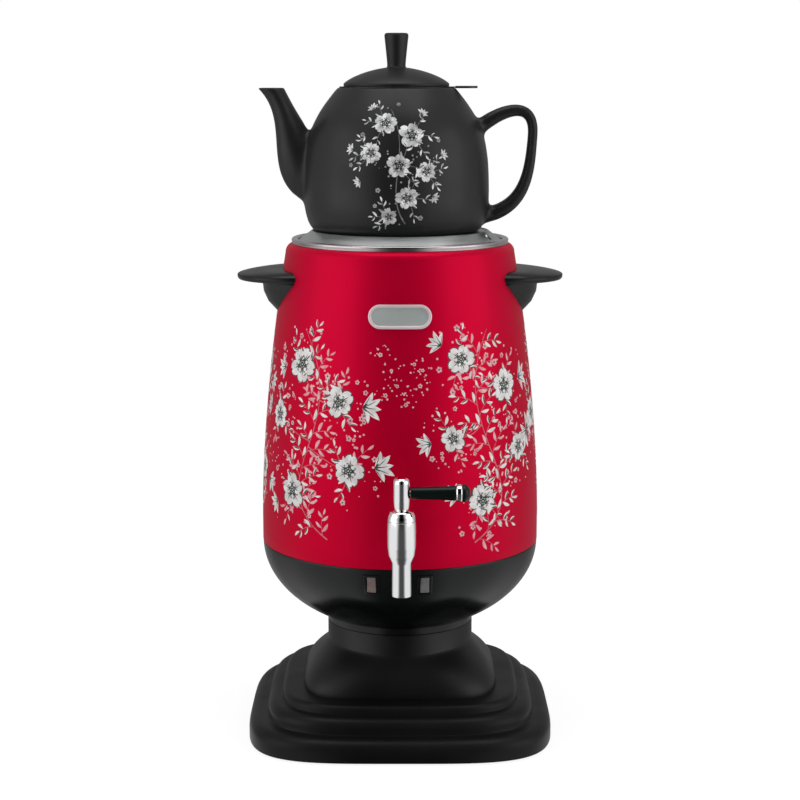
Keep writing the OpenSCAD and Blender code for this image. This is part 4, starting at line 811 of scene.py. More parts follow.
def handle_levels():
    """Levels of (z, reach, half length), from the bracket's foot up over the wing."""
    reach = HANDLE_REACH - ROOT_X
    arm = casing_radius(HANDLE_Z) + BRACKET_REACH - ROOT_X
    low = HANDLE_Z - WING_T / 2
    foot = low - BRACKET_H
    levels = [(foot, arm * 0.56, WING_HALF_L * 0.47), (foot + 0.5, arm * 0.595, WING_HALF_L * 0.495)]
    # The bracket's sections: (distance below the wing, share of its reach, share of its length)
    sections = [(1, 0.6, 0.5), (0.68, 0.85, 0.64), (0.36, 0.97, 0.82), (0, 1, 1)]
    for i in range(1, 24):
        s = 1 - i / 24
        a, b = next(pair for pair in zip(sections, sections[1:]) if pair[0][0] >= s >= pair[1][0])
        t = (a[0] - s) / (a[0] - b[0])
        half_l = WING_HALF_L * mix(a[2], b[2], t) * BRACKET_SHARE
        levels.append((low - BRACKET_H * s, arm * mix(a[1], b[1], t), half_l))
    for k in range(1, 6):
        a = math.radians(90 * k / 5)
        z = low - BRACKET_COVE + BRACKET_COVE * math.sin(a)
        levels.append((z, arm + BRACKET_COVE * (1 - math.cos(a)), WING_HALF_L * BRACKET_SHARE))
    levels.append((low, reach - WING_EDGE - 1.5, WING_HALF_L - WING_EDGE - 0.2))
    half_t = WING_T / 2
    for k in range(9):
        a = math.radians(mix(-90, 12, k / 8))
        inset = WING_EDGE * (1 - math.cos(a))
        levels.append((low + half_t + half_t * math.sin(a) * 0.98, reach - inset, WING_HALF_L - inset))
    groove_z = levels[-1][0]
    for rise, deep, short in ((0.1, 0.55, 0.5), (0.4, 0.55, 0.5), (0.5, 0.1, 0.1)):
        levels.append((groove_z + rise, reach - deep, WING_HALF_L - short))
    start_z = groove_z + 0.5
    top_z = low + WING_T + WING_RISE
    for k in range(1, 15):
        t = k / 14
        z = start_z + (top_z - start_z) * math.sin(t * math.pi / 2) ** 0.8
        shrink = t**1.25
        half_l = mix(WING_HALF_L - 0.1, WING_HALF_L * 0.8, shrink)
        levels.append((z, mix(reach - 0.1, reach * 0.35, shrink), half_l))
    return levels


rings = [handle_ring(*level) for level in handle_levels()]
faces = capped(len(rings), len(rings[0]))
for side, sign in (("left", -1), ("right", 1)):
    verts = [(x * sign, y, z) for ring in rings for x, y, z in ring]
    finish_mesh(f"grip_{side}", verts, faces, MAT["handle"], STAND, "handle_plastic", [f"handle_{side}"])

# --- Badge

BADGE_GAP = 0.16


def on_casing(u, v, offset):
    """A point on the casing's front: u mm along it from the middle, v mm up, offset mm out."""
    r = casing_radius(v)
    a = u / r
    return (r + offset) * math.sin(a), -(r + offset) * math.cos(a), v


def badge_piece():
    """A plate with a raised rim and a sunk middle, bent to the casing."""
    w, h, t, rim, z = BADGE
    levels = [(0.0, BADGE_GAP), (0.0, t - 0.5), (0.15, t - 0.15), (0.5, t), (rim - 0.6, t)]
    levels += [(rim - 0.25, t - 0.15), (rim, t - 0.5), (rim + 0.3, t - 0.62), (h / 4 + 1, t - 0.6)]
    levels.append((h / 4, BADGE_GAP))
    verts = []
    for inset, out in levels:
        verts += [on_casing(x, z + y, out) for x, y in stadium_outline(w - 2 * inset, h - 2 * inset)]
    back = len(levels) - 1
    n = len(verts) // (back + 1)
    faces = grid_faces(back, n)
    faces += [((j + 1) % n, j, back * n + j, back * n + (j + 1) % n) for j in range(n)]
    # The middle of the front and of the back, in strips across
    for first in ((back - 1) * n, back * n):
        for j in range(n // 2):
            strip = (first + j, first + j + 1, first + n - j - 1, first + (n - j) % n)
            faces.append(tuple(dict.fromkeys(strip)))
    badge = finish_mesh("badge", verts, faces, MAT["badge"], STAND, "chrome", ["badge_plate"], 35)
    badge.data.materials.append(MAT["badge_face"])
    for face in badge.data.polygons:
        corners = [badge.data.vertices[i].co / MM for i in face.vertices]
        if all(math.hypot(c.x, c.y) - casing_radius(c.z) < t - 0.4 for c in corners):
            face.material_index = 1


badge_piece()

# --- Tap and lever. Profiles are of (radius, height, corner radius)

TAP_PLACE = moved(*TAP)
SHANK_PLACE = moved(TAP[0], 0, TAP[2]) @ turned("X", 90)
LEVER_PLACE = TAP_PLACE @ moved(0, 0, LEVER_Z) @ turned("Y", 90)
ROSE_PLACE = moved(TAP[0], -(casing_radius(TAP[2]) + 2.0), TAP[2]) @ turned("X", 90)
OUTLET_R = 4.9
SPOUT_R = 6.3
BARREL_R = 9.5
VALVE_R = 6.05
SHANK_R = 6.5
SHANK_END = 73.99
WATERWAY_R = 3
ROD_R = 1.8
GRIP_START = 5.6
RING_START = GRIP_START + 28.8
KNOB_START = RING_START + 4.0


def stepped(r, *heights):
    """Sharp corners of one radius."""
    return [(r, z, 0) for z in heights]


barrel = [(OUTLET_R, -40.2, 0.3), (SPOUT_R - 0.1, -40.2, 0.5), (SPOUT_R, -38, 0.0), (SPOUT_R, -18.4, 2.5)]
barrel += [(BARREL_R - 0.9, -13.6, 4.0), (BARREL_R - 0.1, -8, 4.0), (BARREL_R, -3.6, 3.0)]
barrel += [(BARREL_R, 3, 2.0), (BARREL_R - 0.25, 8.8, 0.3), (BARREL_R - 0.8, 9, 0.1)]
barrel += [(VALVE_R, 9, 0.2), (VALVE_R, -12, 0.2), (OUTLET_R, -12, 0.2)]
shank = cylinder(SHANK_R, SHANK_END, -TAP[1] - VALVE_R - 1.2, SHANK_PLACE, 96)
way = cylinder(WATERWAY_R, 70, -TAP[1] - 2, SHANK_PLACE, 48)
turned_barrel = helper_mesh(*lathe(rounded(barrel, 0.2), 128), TAP_PLACE)
mesh = combined(turned_barrel, [("UNION", shank), ("DIFFERENCE", way)])
dress(mesh, "tap_barrel", MAT["chrome"], STAND, ["tap_body"], 30)

bonnet = [(4.25, 9, 0.2), (BARREL_R - 0.9, 9, 0.2), (BARREL_R - 0.3, 9.25, 0.3), (BARREL_R - 0.7, 12.2, 3.0)]
bonnet += [(BARREL_R - 2.1, 14.9, 2.0), (5.4, 16, 0.4), (4.25, 16, 0.2)]
mesh = lathe(rounded(bonnet, 0.2), 128)
finish_mesh("tap_bonnet", *mesh, MAT["chrome"], STAND, "chrome", ["tap_cap"], matrix=TAP_PLACE)

# The plug has two grooves for its O-rings, a stem through the bonnet and a head for the lever
plug = [(3, -11.7, 0.1), (6, -11.7, 0.3)] + stepped(6, -10.15) + stepped(4.7, -10.15, -8.65)
plug += stepped(6, -8.65, 5.25) + stepped(4.7, 5.25, 6.75) + stepped(6, 6.75) + [(6, 8.7, 0.2)]
plug += stepped(4.2, 8.7, 16.3) + [(4.6, 16.3, 0.2), (5.0, 17.9, 1.0), (5.3, 21.3, 3.0)]
plug += [(5.3, 33.3, 3.0), (4.9, 35.1, 1.2), (3.9, 36.2, 1.0), (2.5, 36.7, 0.8)]
plug += stepped(0, 36.7, 2.5) + [(3, 2.5, 0.1)]
port = cylinder(WATERWAY_R, 0, 8, TAP_PLACE @ turned("Y", -90), 40)
socket = cylinder(ROD_R + 0.01, -1, 8, LEVER_PLACE, 40)
turned_plug = helper_mesh(*lathe(rounded(plug, 0.2, 5), 96), TAP_PLACE)
mesh = combined(turned_plug, [("DIFFERENCE", port), ("DIFFERENCE", socket)])
dress(mesh, "tap_head", MAT["chrome"], "tap_valve", ["valve_plug"], 30)

grip = [(ROD_R, GRIP_START, 0), (3.3, GRIP_START, 0.5), (3.8, GRIP_START + 0.5, 0.5)]
grip += [(4.05, GRIP_START + 10, 5), (4.25, GRIP_START + 18, 5), (4.8, RING_START - 0.9, 0.8)]
grip += [(4.6, RING_START, 0.2), (ROD_R, RING_START, 0)]
collar = [(ROD_R, RING_START, 0), (5.1, RING_START, 0.5), (5.7, RING_START + 0.8, 0.6)]
collar += [(5.7, KNOB_START - 0.8, 0.6), (5.1, KNOB_START, 0.5), (ROD_R, KNOB_START, 0)]
knob = [(ROD_R, KNOB_START + 2.1), (ROD_R, KNOB_START), (5.35, KNOB_START), (5.58, KNOB_START + 0.4)]
for degrees in range(0, 90, 6):
    a = math.radians(degrees)
    knob.append((5.6 * math.cos(a), KNOB_START + 1 + 4.2 * math.sin(a)))
knob += [(0, KNOB_START + 5.2), (0, KNOB_START + 2.1)]
rose = [(SHANK_R, 0, 0), (9.2, 0, 0.2), (9.2, 1.1, 0.5), (8.4, 2.2, 0.6), (7.7, 2.6, 0.8), (7.5, 5.2, 0.4)]
rose.append((SHANK_R, 5.2, 0))
for name, profile, material, slot, node in (
    ("lever_handle", rounded(grip, 0.2), "lever", "handle_plastic", "lever_grip"),
    ("lever_collar", rounded(collar, 0.3), "chrome", "chrome", "lever_ring"),
    ("lever_end", knob, "lever", "handle_plastic", "lever_knob"),
):
    finish_mesh(name, *lathe(profile, 96), MAT[material], "tap_valve", slot, [node], matrix=LEVER_PLACE)
mesh = lathe(rounded(rose, 0.2, 5), 96)
finish_mesh("tap_rose", *mesh, MAT["chrome"], STAND, "chrome", ["tap_flange"], matrix=ROSE_PLACE)

# --- Teapot

POT_PLACE = moved(POT_X, 0, SEAT_Z)
POT_FLOOR = 5.0
POT_SIDES = 160
POT_LOW = [(POT_FOOT_R, 0), (POT_FOOT_R + 5, 2), (POT_R, POT_BELLY_H * 0.5), (POT_R, POT_BELLY_H)]
POT_HIGH = [(POT_R, POT_BELLY_H), (POT_R, mix(POT_BELLY_H, POT_H, 0.53)), (POT_R - 2.8, POT_H - 24)]
POT_HIGH.append((POT_RIM_R, POT_H))
SPOUT_OUT_X = -93.6
SPOUT_IN_X = SPOUT_OUT_X + 18.0
SPOUT_OUTER = [(SPOUT_OUT_X, POT_H), (SPOUT_OUT_X + 25.5, POT_H - 24), (SPOUT_OUT_X - 4, POT_H - 63)]
SPOUT_OUTER.append((-POT_R + 7, POT_H - 80))
SPOUT_INNER = [(SPOUT_IN_X, POT_H), (SPOUT_IN_X + 6, POT_H - 13), (-POT_R + 5, POT_H - 33)]
SPOUT_INNER.append((-POT_R + 31, POT_H - 66))
HANDLE_X = 92.0
HANDLE_TOP = [(POT_R - 10.7, POT_H - 30), (POT_R + 1.7, POT_H - 17.4), (HANDLE_X + 1.4, POT_H - 3.4)]
HANDLE_TOP.append((HANDLE_X, POT_H - 31))
HANDLE_LOW = [(HANDLE_X, POT_H - 31), (HANDLE_X - 1.6, POT_H - 56), (HANDLE_X - 3.6, POT_H - 81.5)]
HANDLE_LOW.append((POT_R - 5.3, POT_H - 86))


def pot_side(steps=48):
    return curve(POT_LOW, 20)[:-1] + curve(POT_HIGH, steps)


def loft(edge_a, edge_b, depths, power=2.0, sides=40):
    """A helper solid between two edge curves in the XZ plane, with rounded sections."""
    verts = []
    for a, b, depth in zip(edge_a, edge_b, depths):
        centre = (np.array(a) + np.array(b)) / 2
        half = (np.array(b) - np.array(a)) / 2
        for k in range(sides):
            t = 2 * math.pi * k / sides
            c = math.copysign(abs(math.cos(t)) ** (2 / power), math.cos(t))
            s = math.copysign(abs(math.sin(t)) ** (2 / power), math.sin(t))
            p = centre + c * half
            verts.append((p[0], s * depth, p[1]))
    return helper_mesh(verts, capped(len(edge_a), sides), POT_PLACE)


def spout(inset, over, steps=28):
    """The spout, or the way through it with an inset and some reach over its mouth."""
    a_edge, b_edge, depths = [], [], []
    for i in range(steps + 1):
        a, b = bezier(SPOUT_OUTER, i / steps), bezier(SPOUT_INNER, i / steps)
        u = (b - a) / np.linalg.norm(b - a)
        a_edge.append(a + u * inset)
        b_edge.append(b - u * inset)
        depths.append(8 + 7 * (i / steps) - inset)
    if over:
        up = np.array((0, over))
        a_edge.insert(0, a_edge[0] + up)
        b_edge.insert(0, b_edge[0] + up)
        depths.insert(0, depths[0])
    return loft(a_edge, b_edge, depths)


def pot_handle(steps=24):
    line = [bezier(HANDLE_TOP, i / steps) for i in range(steps + 1)]
    line += [bezier(HANDLE_LOW, i / steps) for i in range(1, steps + 1)]
    last = len(line) - 1
    edge_a, edge_b, depths = [], [], []
    for i, p in enumerate(line):
        d = line[min(i + 1, last)] - line[max(i - 1, 0)]
        normal = np.array((d[1], -d[0])) / np.linalg.norm(d)
        half = (6.6 + 4.4 * abs(2 * i / last - 1) ** 1.5) / 2
        edge_a.append(p + normal * half)
        edge_b.append(p - normal * half)
        depths.append(10 / 6.6 * half)
    return loft(edge_a, edge_b, depths, 2.6, 36)


def teapot_piece():
    outer = pot_side()
    body = helper_mesh(*lathe([(0, 0)] + outer + [(0, POT_H)], POT_SIDES), POT_PLACE)
    inner = [(0, POT_FLOOR)] + [(r - POT_WALL, z) for r, z in outer if z >= POT_FLOOR]
    inner += [(POT_RIM_R - POT_WALL, POT_H + 1), (0, POT_H + 1)]
    cavity = helper_mesh(*lathe(inner, POT_SIDES), POT_PLACE)
    tools = [("UNION", spout(0, 0)), ("UNION", pot_handle())]
    tools += [("DIFFERENCE", cavity), ("DIFFERENCE", spout(3.0, 1.0))]
    helper = linked(combined(body, tools))
    remesh = helper.modifiers.new("remesh", "REMESH")
    remesh.mode = "VOXEL"
    remesh.voxel_size = 0.85 * MM
    remesh.adaptivity = 0
    graph = bpy.context.evaluated_depsgraph_get()
    fine = bpy.data.meshes.new_from_object(helper.evaluated_get(graph))
    remove([helper])
    soften_teapot(fine, outer)
    dress(fine, "teapot_body", MAT["ceramic"], "pot", ["teapot"], 60)


def soften_teapot(mesh, outer):
    """Rounds the joins of spout and handle, and sets the plain body back on its true curve."""
    count = len(mesh.vertices)
    co = np.zeros(count * 3)
    mesh.vertices.foreach_get("co", co)
    co = co.reshape(-1, 3) / MM
    edges = np.zeros(len(mesh.edges) * 2, int)
    mesh.edges.foreach_get("vertices", edges)
    a, b = edges.reshape(-1, 2).T
    degree = np.bincount(a, minlength=count) + np.bincount(b, minlength=count)
    curve_r, curve_z = np.array(outer).T

    def facts():
        """Each point's radius, the plain body's radius there, its height, and if a join is near."""
        x, y = co[:, 0] - POT_X, np.abs(co[:, 1])
        true_r = np.interp(co[:, 2], curve_z + SEAT_Z, curve_r)
        z = co[:, 2] - SEAT_Z
        at_spout = (x < -30) & (y < 24) & (z > 8) & (z < 80)
        at_top_root = (x > 44) & (y < 15) & (z > 50) & (z < 86)
        at_low_root = (x > 50) & (y < 15) & (z > 2) & (z < 26)
        return np.hypot(x, co[:, 1]), true_r, z, at_spout | at_top_root | at_low_root

    def relaxed(weight):
        total = np.zeros_like(co)
        for k in range(3):
            total[:, k] = np.bincount(a, co[b, k], count) + np.bincount(b, co[a, k], count)
        return co + (total / degree[:, None] - co) * weight[:, None]

    r, true_r, z, join = facts()
    for _ in range(26):
        co = relaxed(np.where(join & (np.abs(r - true_r) < 7), 0.6, 0.0))
    for _ in range(5):
        co = relaxed(np.where((z < 0.6) | (z > POT_H - 0.6), 0.25, 0.5))
    r, true_r, z, join = facts()
    height_ok = (z > 1.2) & (z < POT_H - 1.5)
    for depth in (0.0, POT_WALL):
        target = true_r - depth
        plain = height_ok & ~join & (np.abs(r - target) < 1.0) & ((depth == 0) | (z > 8))
        scale = np.where(plain, target / np.maximum(r, 1e-6), 1.0)
        co[:, 0] = POT_X + (co[:, 0] - POT_X) * scale
        co[:, 1] = co[:, 1] * scale
    co[:, 2] = np.clip(co[:, 2], SEAT_Z, POT_RIM_Z)
    mesh.vertices.foreach_set("co", (co * MM).reshape(-1))
    mesh.update()


teapot_piece()

STRAINER_HOLE_R = 33.5 - 0.8
TAB_REACH, TAB_W = 54.6, 14.0


def strainer_plate():
    """A flat ring with softened edges and a rounded tab, whose edge is rolled."""
    r_out = POT_RIM_R - 1
    place = moved(POT_X, 0, POT_RIM_Z)
    start = math.degrees(math.asin((TAB_W / 2) / r_out))
    neck_x = r_out * math.cos(math.radians(start)) + 2.2
    tab_end = arc((TAB_REACH - TAB_W / 2, 0), TAB_W / 2, -90, 90, 24)
    outline = arc((0, 0), r_out, start + 5, 360 - start - 5, 120)
    outline += [(neck_x, -TAB_W / 2)] + tab_end + [(neck_x, TAB_W / 2)]
    levels = [(0.15, 0.0), (0.0, 0.15), (0.0, 0.6), (0.2, 0.8)]
    verts = []
    for inset, z in levels:
        for x, y in outline:
            k = 1 - inset / math.hypot(x, y)
            verts.append((x * k, y * k, z))
    plate = helper_mesh(verts, capped(len(levels), len(outline)), place)
    tab_start = POT_RIM_R + 0.4
    tab = [(tab_start, -TAB_W / 2)] + tab_end + [(tab_start, TAB_W / 2)]
    rolled_tab = prism(tab, [(0.996, 0.97, -0.35), (1, 1, -0.15), (1, 1, 0.95), (0.996, 0.97, 1.2)], place)
    hole = cylinder(STRAINER_HOLE_R, -2, 3, place, 160)
    mesh = combined(plate, [("UNION", rolled_tab), ("DIFFERENCE", hole)])
    dress(mesh, "strainer_plate", MAT["dark_steel"], "strainer", ["strainer_flange"], 30)


strainer_plate()


def teapot_lid():
    collar, lid_r, edge_h, dome_h, neck_r, knob_r, knob_h = 31.2, 35.6, 2.2, 10.4, 6.2, 8.1, 22.8
    top = dome_h + edge_h
    knob_z = top + knob_h
    shell = 3.5
    crown = [
        (lid_r - 0.3, edge_h),
        (mix(neck_r, lid_r, 0.78), mix(edge_h, top, 0.51)),
        (mix(neck_r, lid_r, 0.33), mix(edge_h, top, 0.9)),
        (neck_r, top),
    ]
    outline = [(collar - shell, -8), (collar - 0.5, -8), (collar, -7.5), (collar, 0.05), (lid_r - 0.5, 0.05)]
    outline += [(lid_r - 0.1, 0.35), (lid_r, 0.8), (lid_r, edge_h - 0.9), (lid_r - 0.12, edge_h - 0.3)]
    outline += curve(crown, 32)[:-1]
    outline += [(neck_r + 0.6, top - 0.05), (neck_r + 0.15, top + 0.45), (neck_r - 0.02, top + 1.3)]
    for i in range(1, 12):
        t = i / 12
        outline.append((mix(neck_r - 0.02, knob_r - 0.05, t**1.15), top + mix(1.3, knob_h - 2.6, t)))
    outline += [(knob_r, knob_z - 1.9), (knob_r - 0.1, knob_z - 1.2), (knob_r - 0.5, knob_z - 0.45)]
    outline += [(knob_r - 1.2, knob_z - 0.1), (knob_r - 2.4, knob_z), (0, knob_z), (0, top - shell)]
    for degrees in range(85, -1, -5):
        a = math.radians(degrees)
        outline.append(((collar - shell) * math.cos(a), (top - shell) * math.sin(a)))
    place = moved(POT_X, 0, POT_LID_Z)
    lid = lathe(outline, POT_SIDES)
    finish_mesh("teapot_cover", *lid, MAT["ceramic"], "pot_cover", "ceramic", ["teapot_lid"], 40, place)


teapot_lid()

# --- Printed flowers

CHANCE = random.Random(7)
# From the lowest colour to the one on top
PRINT_LAYERS = ["stem", "shade", "pink", "white", "dark", "light"]
SKIN_FOOT = 0.012
CASING_INK = {
    "stem": enamel("ink_stem", (0.50, 0.09, 0.12), (0.66, 0.2, 0.24)),
    "shade": enamel("ink_shade", (0.03, 0.02, 0.022), (0.09, 0.05, 0.055)),
    "pink": enamel("ink_pink", (0.78, 0.3, 0.36), (0.86, 0.55, 0.58)),
    "white": enamel("ink_white", (0.7, 0.67, 0.65), (0.93, 0.91, 0.89)),
    "dark": enamel("ink_dark", (0.02, 0.028, 0.024), (0.055, 0.07, 0.06)),
    "light": enamel("ink_light", (0.6, 0.6, 0.56), (0.72, 0.72, 0.68)),
}
POT_INK = {
    "stem": enamel("pot_ink_stem", grey(0.12), grey(0.22)),
    "shade": enamel("pot_ink_shade", grey(0.012), grey(0.03)),
    "pink": enamel("pot_ink_grey", grey(0.22), grey(0.42)),
    "white": enamel("pot_ink_white", grey(0.42), grey(0.95)),
    "dark": enamel("pot_ink_dark", grey(0.02), grey(0.05)),
    "light": enamel("pot_ink_light", grey(0.5), grey(0.6)),
}


def petal(width, notch=0.09):
    """A petal along +X from 0.1 to 1, with a slight notch in its tip."""
    side = curve([(0.08, 0.03), (0.3, width), (0.92, width * 1.05), (1.0, 0.1)], 7)
    return side + [(1 - notch, 0.0)] + [(x, -y) for x, y in reversed(side)]


def leaf(width, bend):
    """A pointed leaf along +X from 0 to 1 and its darker lower half."""
    bows = (width + bend, bend - width, bend)
    top, low, rib = (curve([(0, 0), (0.3, y), (0.7, y), (1, 0)], 7) for y in bows)
    return top + low[-2:0:-1], rib + low[-2:0:-1]


def dot(x, y, r, sides):
    return [around(x, y, r, 2 * math.pi * i / sides) for i in range(sides)]


class Print:
    """Flat shapes by colour, in mm along a wall, that become thin closed skins on it."""

    def __init__(self, wall, stretch):
        self.wall = wall
        self.stretch = stretch
        self.groups = []
        self.next_group()

    def next_group(self):
        """The shapes of one group are merged where they overlap. Groups only meet at their edges."""
        self.shapes = {}
        self.groups.append(self.shapes)

    def add(self, layer, outline, at):
        u, v, turn, size = at
        c, s = around(0, 0, size, math.radians(turn))
        k = self.stretch(v)
        points = [(u + (x * c - y * s) * k, v + x * s + y * c) for x, y in outline]
        self.shapes.setdefault(layer, []).append(points)

    def blossom(self, u, v, size):
        turn = CHANCE.uniform(0, 72)
        for i in range(5):
            a = turn + 72 * i + CHANCE.uniform(-6, 6)
            k = size * CHANCE.uniform(0.88, 1.06)
            self.add("shade", petal(0.58), (u, v, a, k * 1.05))
            self.add("white", petal(0.52, 0.12), (u, v, a, k))
            for turn_by, reach in ((0, 0.78), (-13, 0.6), (14, 0.56)):
                self.add("dark", [(0.1, -0.07), (reach, 0), (0.1, 0.07)], (u, v, a + turn_by, k))
            for turn_by in (-24, 24):
                self.add("dark", dot(0.46, 0, 0.05, 6), (u, v, a + turn_by, k))
        self.add("dark", dot(0, 0, 0.27, 14), (u, v, 0, size))
        for i in range(7):
            self.add("light", dot(0.17, 0, 0.04, 6), (u, v, i * 51.4 + turn, size))
        self.add("light", dot(0, 0, 0.055, 6), (u, v, 0, size))

    def half_blossom(self, u, v, turn, size):
        """A blossom seen from its side, with its cup of sepals."""
        blades = ((-64, 0.8, 0.14), (62, 0.84, -0.14), (-30, 1.0, 0.08), (31, 0.95, -0.08), (0, 0.9, 0))
        for a, k, bow in blades:
            blade, lower = leaf(0.2, bow)
            self.add("white", blade, (u, v, turn + a, size * k))
            self.add("dark", [(x, y * 0.35) for x, y in lower], (u, v, turn + a, size * k * 0.75))
        for a in (-38, 0, 38):
            self.add("dark", leaf(0.18, 0.02)[0], (u, v, turn + a, size * 0.3))

    def small_blossom(self, u, v, size):
        turn = CHANCE.uniform(0, 72)
        for i in range(5):
            middle = around(0, 0, 0.58, math.radians(turn + 72 * i))
            self.add("pink", dot(*middle, 0.36, 9), (u, v, 0, size))
        self.add("dark", dot(0, 0, 0.24, 8), (u, v, 0, size))

    def stem(self, points, width):
        """A band along a curve of four control points, thinner towards its end."""
        count = max(6, int(sum(math.dist(a, b) for a, b in zip(points, points[1:])) / 2.4))
        line = [bezier(points, i / count) for i in range(count + 1)]
        left, right = [], []
        for i, p in enumerate(line):
            d = line[min(i + 1, count)] - line[max(i - 1, 0)]
            side = np.array((-d[1], d[0])) / np.linalg.norm(d) * width * (1 - 0.6 * i / count)
            left.append(tuple(p + side))
            right.append(tuple(p - side))
        self.shapes.setdefault("stem", []).append(left + right[::-1])
        return line

    def spray(self, u, v, turn, length, bend, size, layer="white"):
        """A twig with leaves on both sides and one at its tip."""
        a = math.radians(turn)
        b = math.radians(turn + bend)
        reach = length * 0.5
        far = (u + reach * (math.cos(a) + math.cos(b)), v + reach * (math.sin(a) + math.sin(b)))
        near_tip = (far[0] - length * 0.25 * math.cos(b), far[1] - length * 0.25 * math.sin(b))
        line = self.stem([(u, v), around(u, v, length * 0.4, a), near_tip, far], 0.3)
        for i in range(5):
            t = (i + 1) / 5
            p = line[round(t * (len(line) - 1))]
            side = 0 if i == 4 else (48 if i % 2 else -48)
            k = size * (1.1 - 0.35 * t) * CHANCE.uniform(0.85, 1.1)
            blade, lower = leaf(0.21, 0.1 if side > 0 else -0.1)
            heading = turn + bend * t + side
            self.add(layer, blade, (*p, heading, k))
            if layer == "white" and i % 2:
                self.add("dark", lower, (*p, heading, k * 0.9))

    def sprinkle(self, u, v, reach, count, sizes):
        for _ in range(count):
            a, r = CHANCE.uniform(0, 2 * math.pi), reach * math.sqrt(CHANCE.random())
            self.add("pink", dot(0, 0, 1, 8), (*around(u, v, r, a), 0, CHANCE.uniform(*sizes)))

    def skins(self, name, body, inks, pitch):
        """One piece per colour. Each colour and each group has a height of its own."""
        for i, layer in enumerate(PRINT_LAYERS):
            verts, faces = [], []
            for k, group in enumerate(self.groups):
                if layer not in group:
                    continue
                more, more_faces = self.skin(group[layer], 0.04 + 0.02 * i + 0.003 * k, pitch)
                faces += [tuple(j + len(verts) for j in f) for f in more_faces]
                verts += more
            finish_mesh(f"{name}_{layer}", verts, faces, inks[layer], body, "flower_print", (), 60)

    def skin(self, shapes, height, pitch):
        """The shapes as one closed skin. A grid of points lets it follow the wall's bend."""
        points, outlines = [], []
        for shape in shapes:
            turn = sum(a[0] * b[1] - b[0] * a[1] for a, b in zip(shape, shape[1:] + shape[:1]))
            outlines.append(list(range(len(points), len(points) + len(shape))))
            points += shape if turn > 0 else shape[::-1]
        low = np.min(np.array(points), axis=0)
        high = np.max(np.array(points), axis=0)
        for x in np.arange(low[0], high[0], pitch):
            points += [(x, y) for y in np.arange(low[1], high[1], pitch)]
        made = delaunay_2d_cdt([Vector(p) for p in points], [], outlines, 1, 1e-4, True)
        # Areas that several shapes enclose without covering them have no face of origin
        flat, triangles = made[0], [t for t, origins in zip(made[2], made[5]) if origins]
        used = sorted({i for t in triangles for i in t})
        place = {old: new for new, old in enumerate(used)}
        triangles = [tuple(place[i] for i in t) for t in triangles]
        n = len(used)
        verts = [self.wall(*flat[i], out) for out in (height, SKIN_FOOT) for i in used]
        edges = {(t[i], t[(i + 1) % 3]): 1 for t in triangles for i in range(3)}
        faces = list(triangles) + [tuple(i + n for i in reversed(t)) for t in triangles]
        faces += [(b, a, a + n, b + n) for a, b in edges if (b, a) not in edges]
        return verts, faces


# Branches: a curve in (degrees from the front, height), and blossoms as (degrees, height, size)
BRANCHES = (
    (
        [(-30, 149), (-70, 186), (-14, 222), (-46, 284)],
        [(-47, 262, 11.5), (-26, 240, 10.0), (-61, 226, 9.5), (-21, 196, 10.5), (-49, 178, 11.5)],
    ),
    (
        [(31, 147), (70, 182), (13, 222), (42, 286)],
        [(27, 268, 10.0), (50, 248, 11.5), (22, 217, 9.0), (58, 205, 10.0), (35, 174, 11.0)],
    ),
    (
        [(-80, 152), (-104, 190), (-72, 230), (-92, 276)],
        [(-84, 256, 10.5), (-97, 216, 10.0), (-78, 186, 9.5)],
    ),
    (
        [(82, 150), (106, 192), (74, 226), (94, 280)],
        [(90, 262, 10.0), (76, 224, 10.5), (98, 182, 10.0)],
    ),
)
SPECKS = ((-14, 272), (-6, 262), (10, 266), (-2, 252), (14, 252), (4, 240), (-10, 246), (16, 262))
# On the teapot: (mm along the wall, mm up the wall, and a size or a turn)
POT_BLOSSOMS = ((-8, 78, 8.0), (11, 70, 8.6), (-17, 58, 7.0), (2, 50, 8.2), (20, 46, 6.6))
POT_BLOSSOMS += ((7, 29, 7.6), (-5, 17, 5.6))
POT_BUDS = ((-30, 60, 165), (31, 56, 20), (-24, 40, 205), (20, 84, 50), (-18, 88, 130), (24, 30, -30))
POT_SPECKS = ((-31, 50), (-24, 70), (30, 66), (27, 38), (-12, 34), (16, 16), (2, 92), (-14, 24))


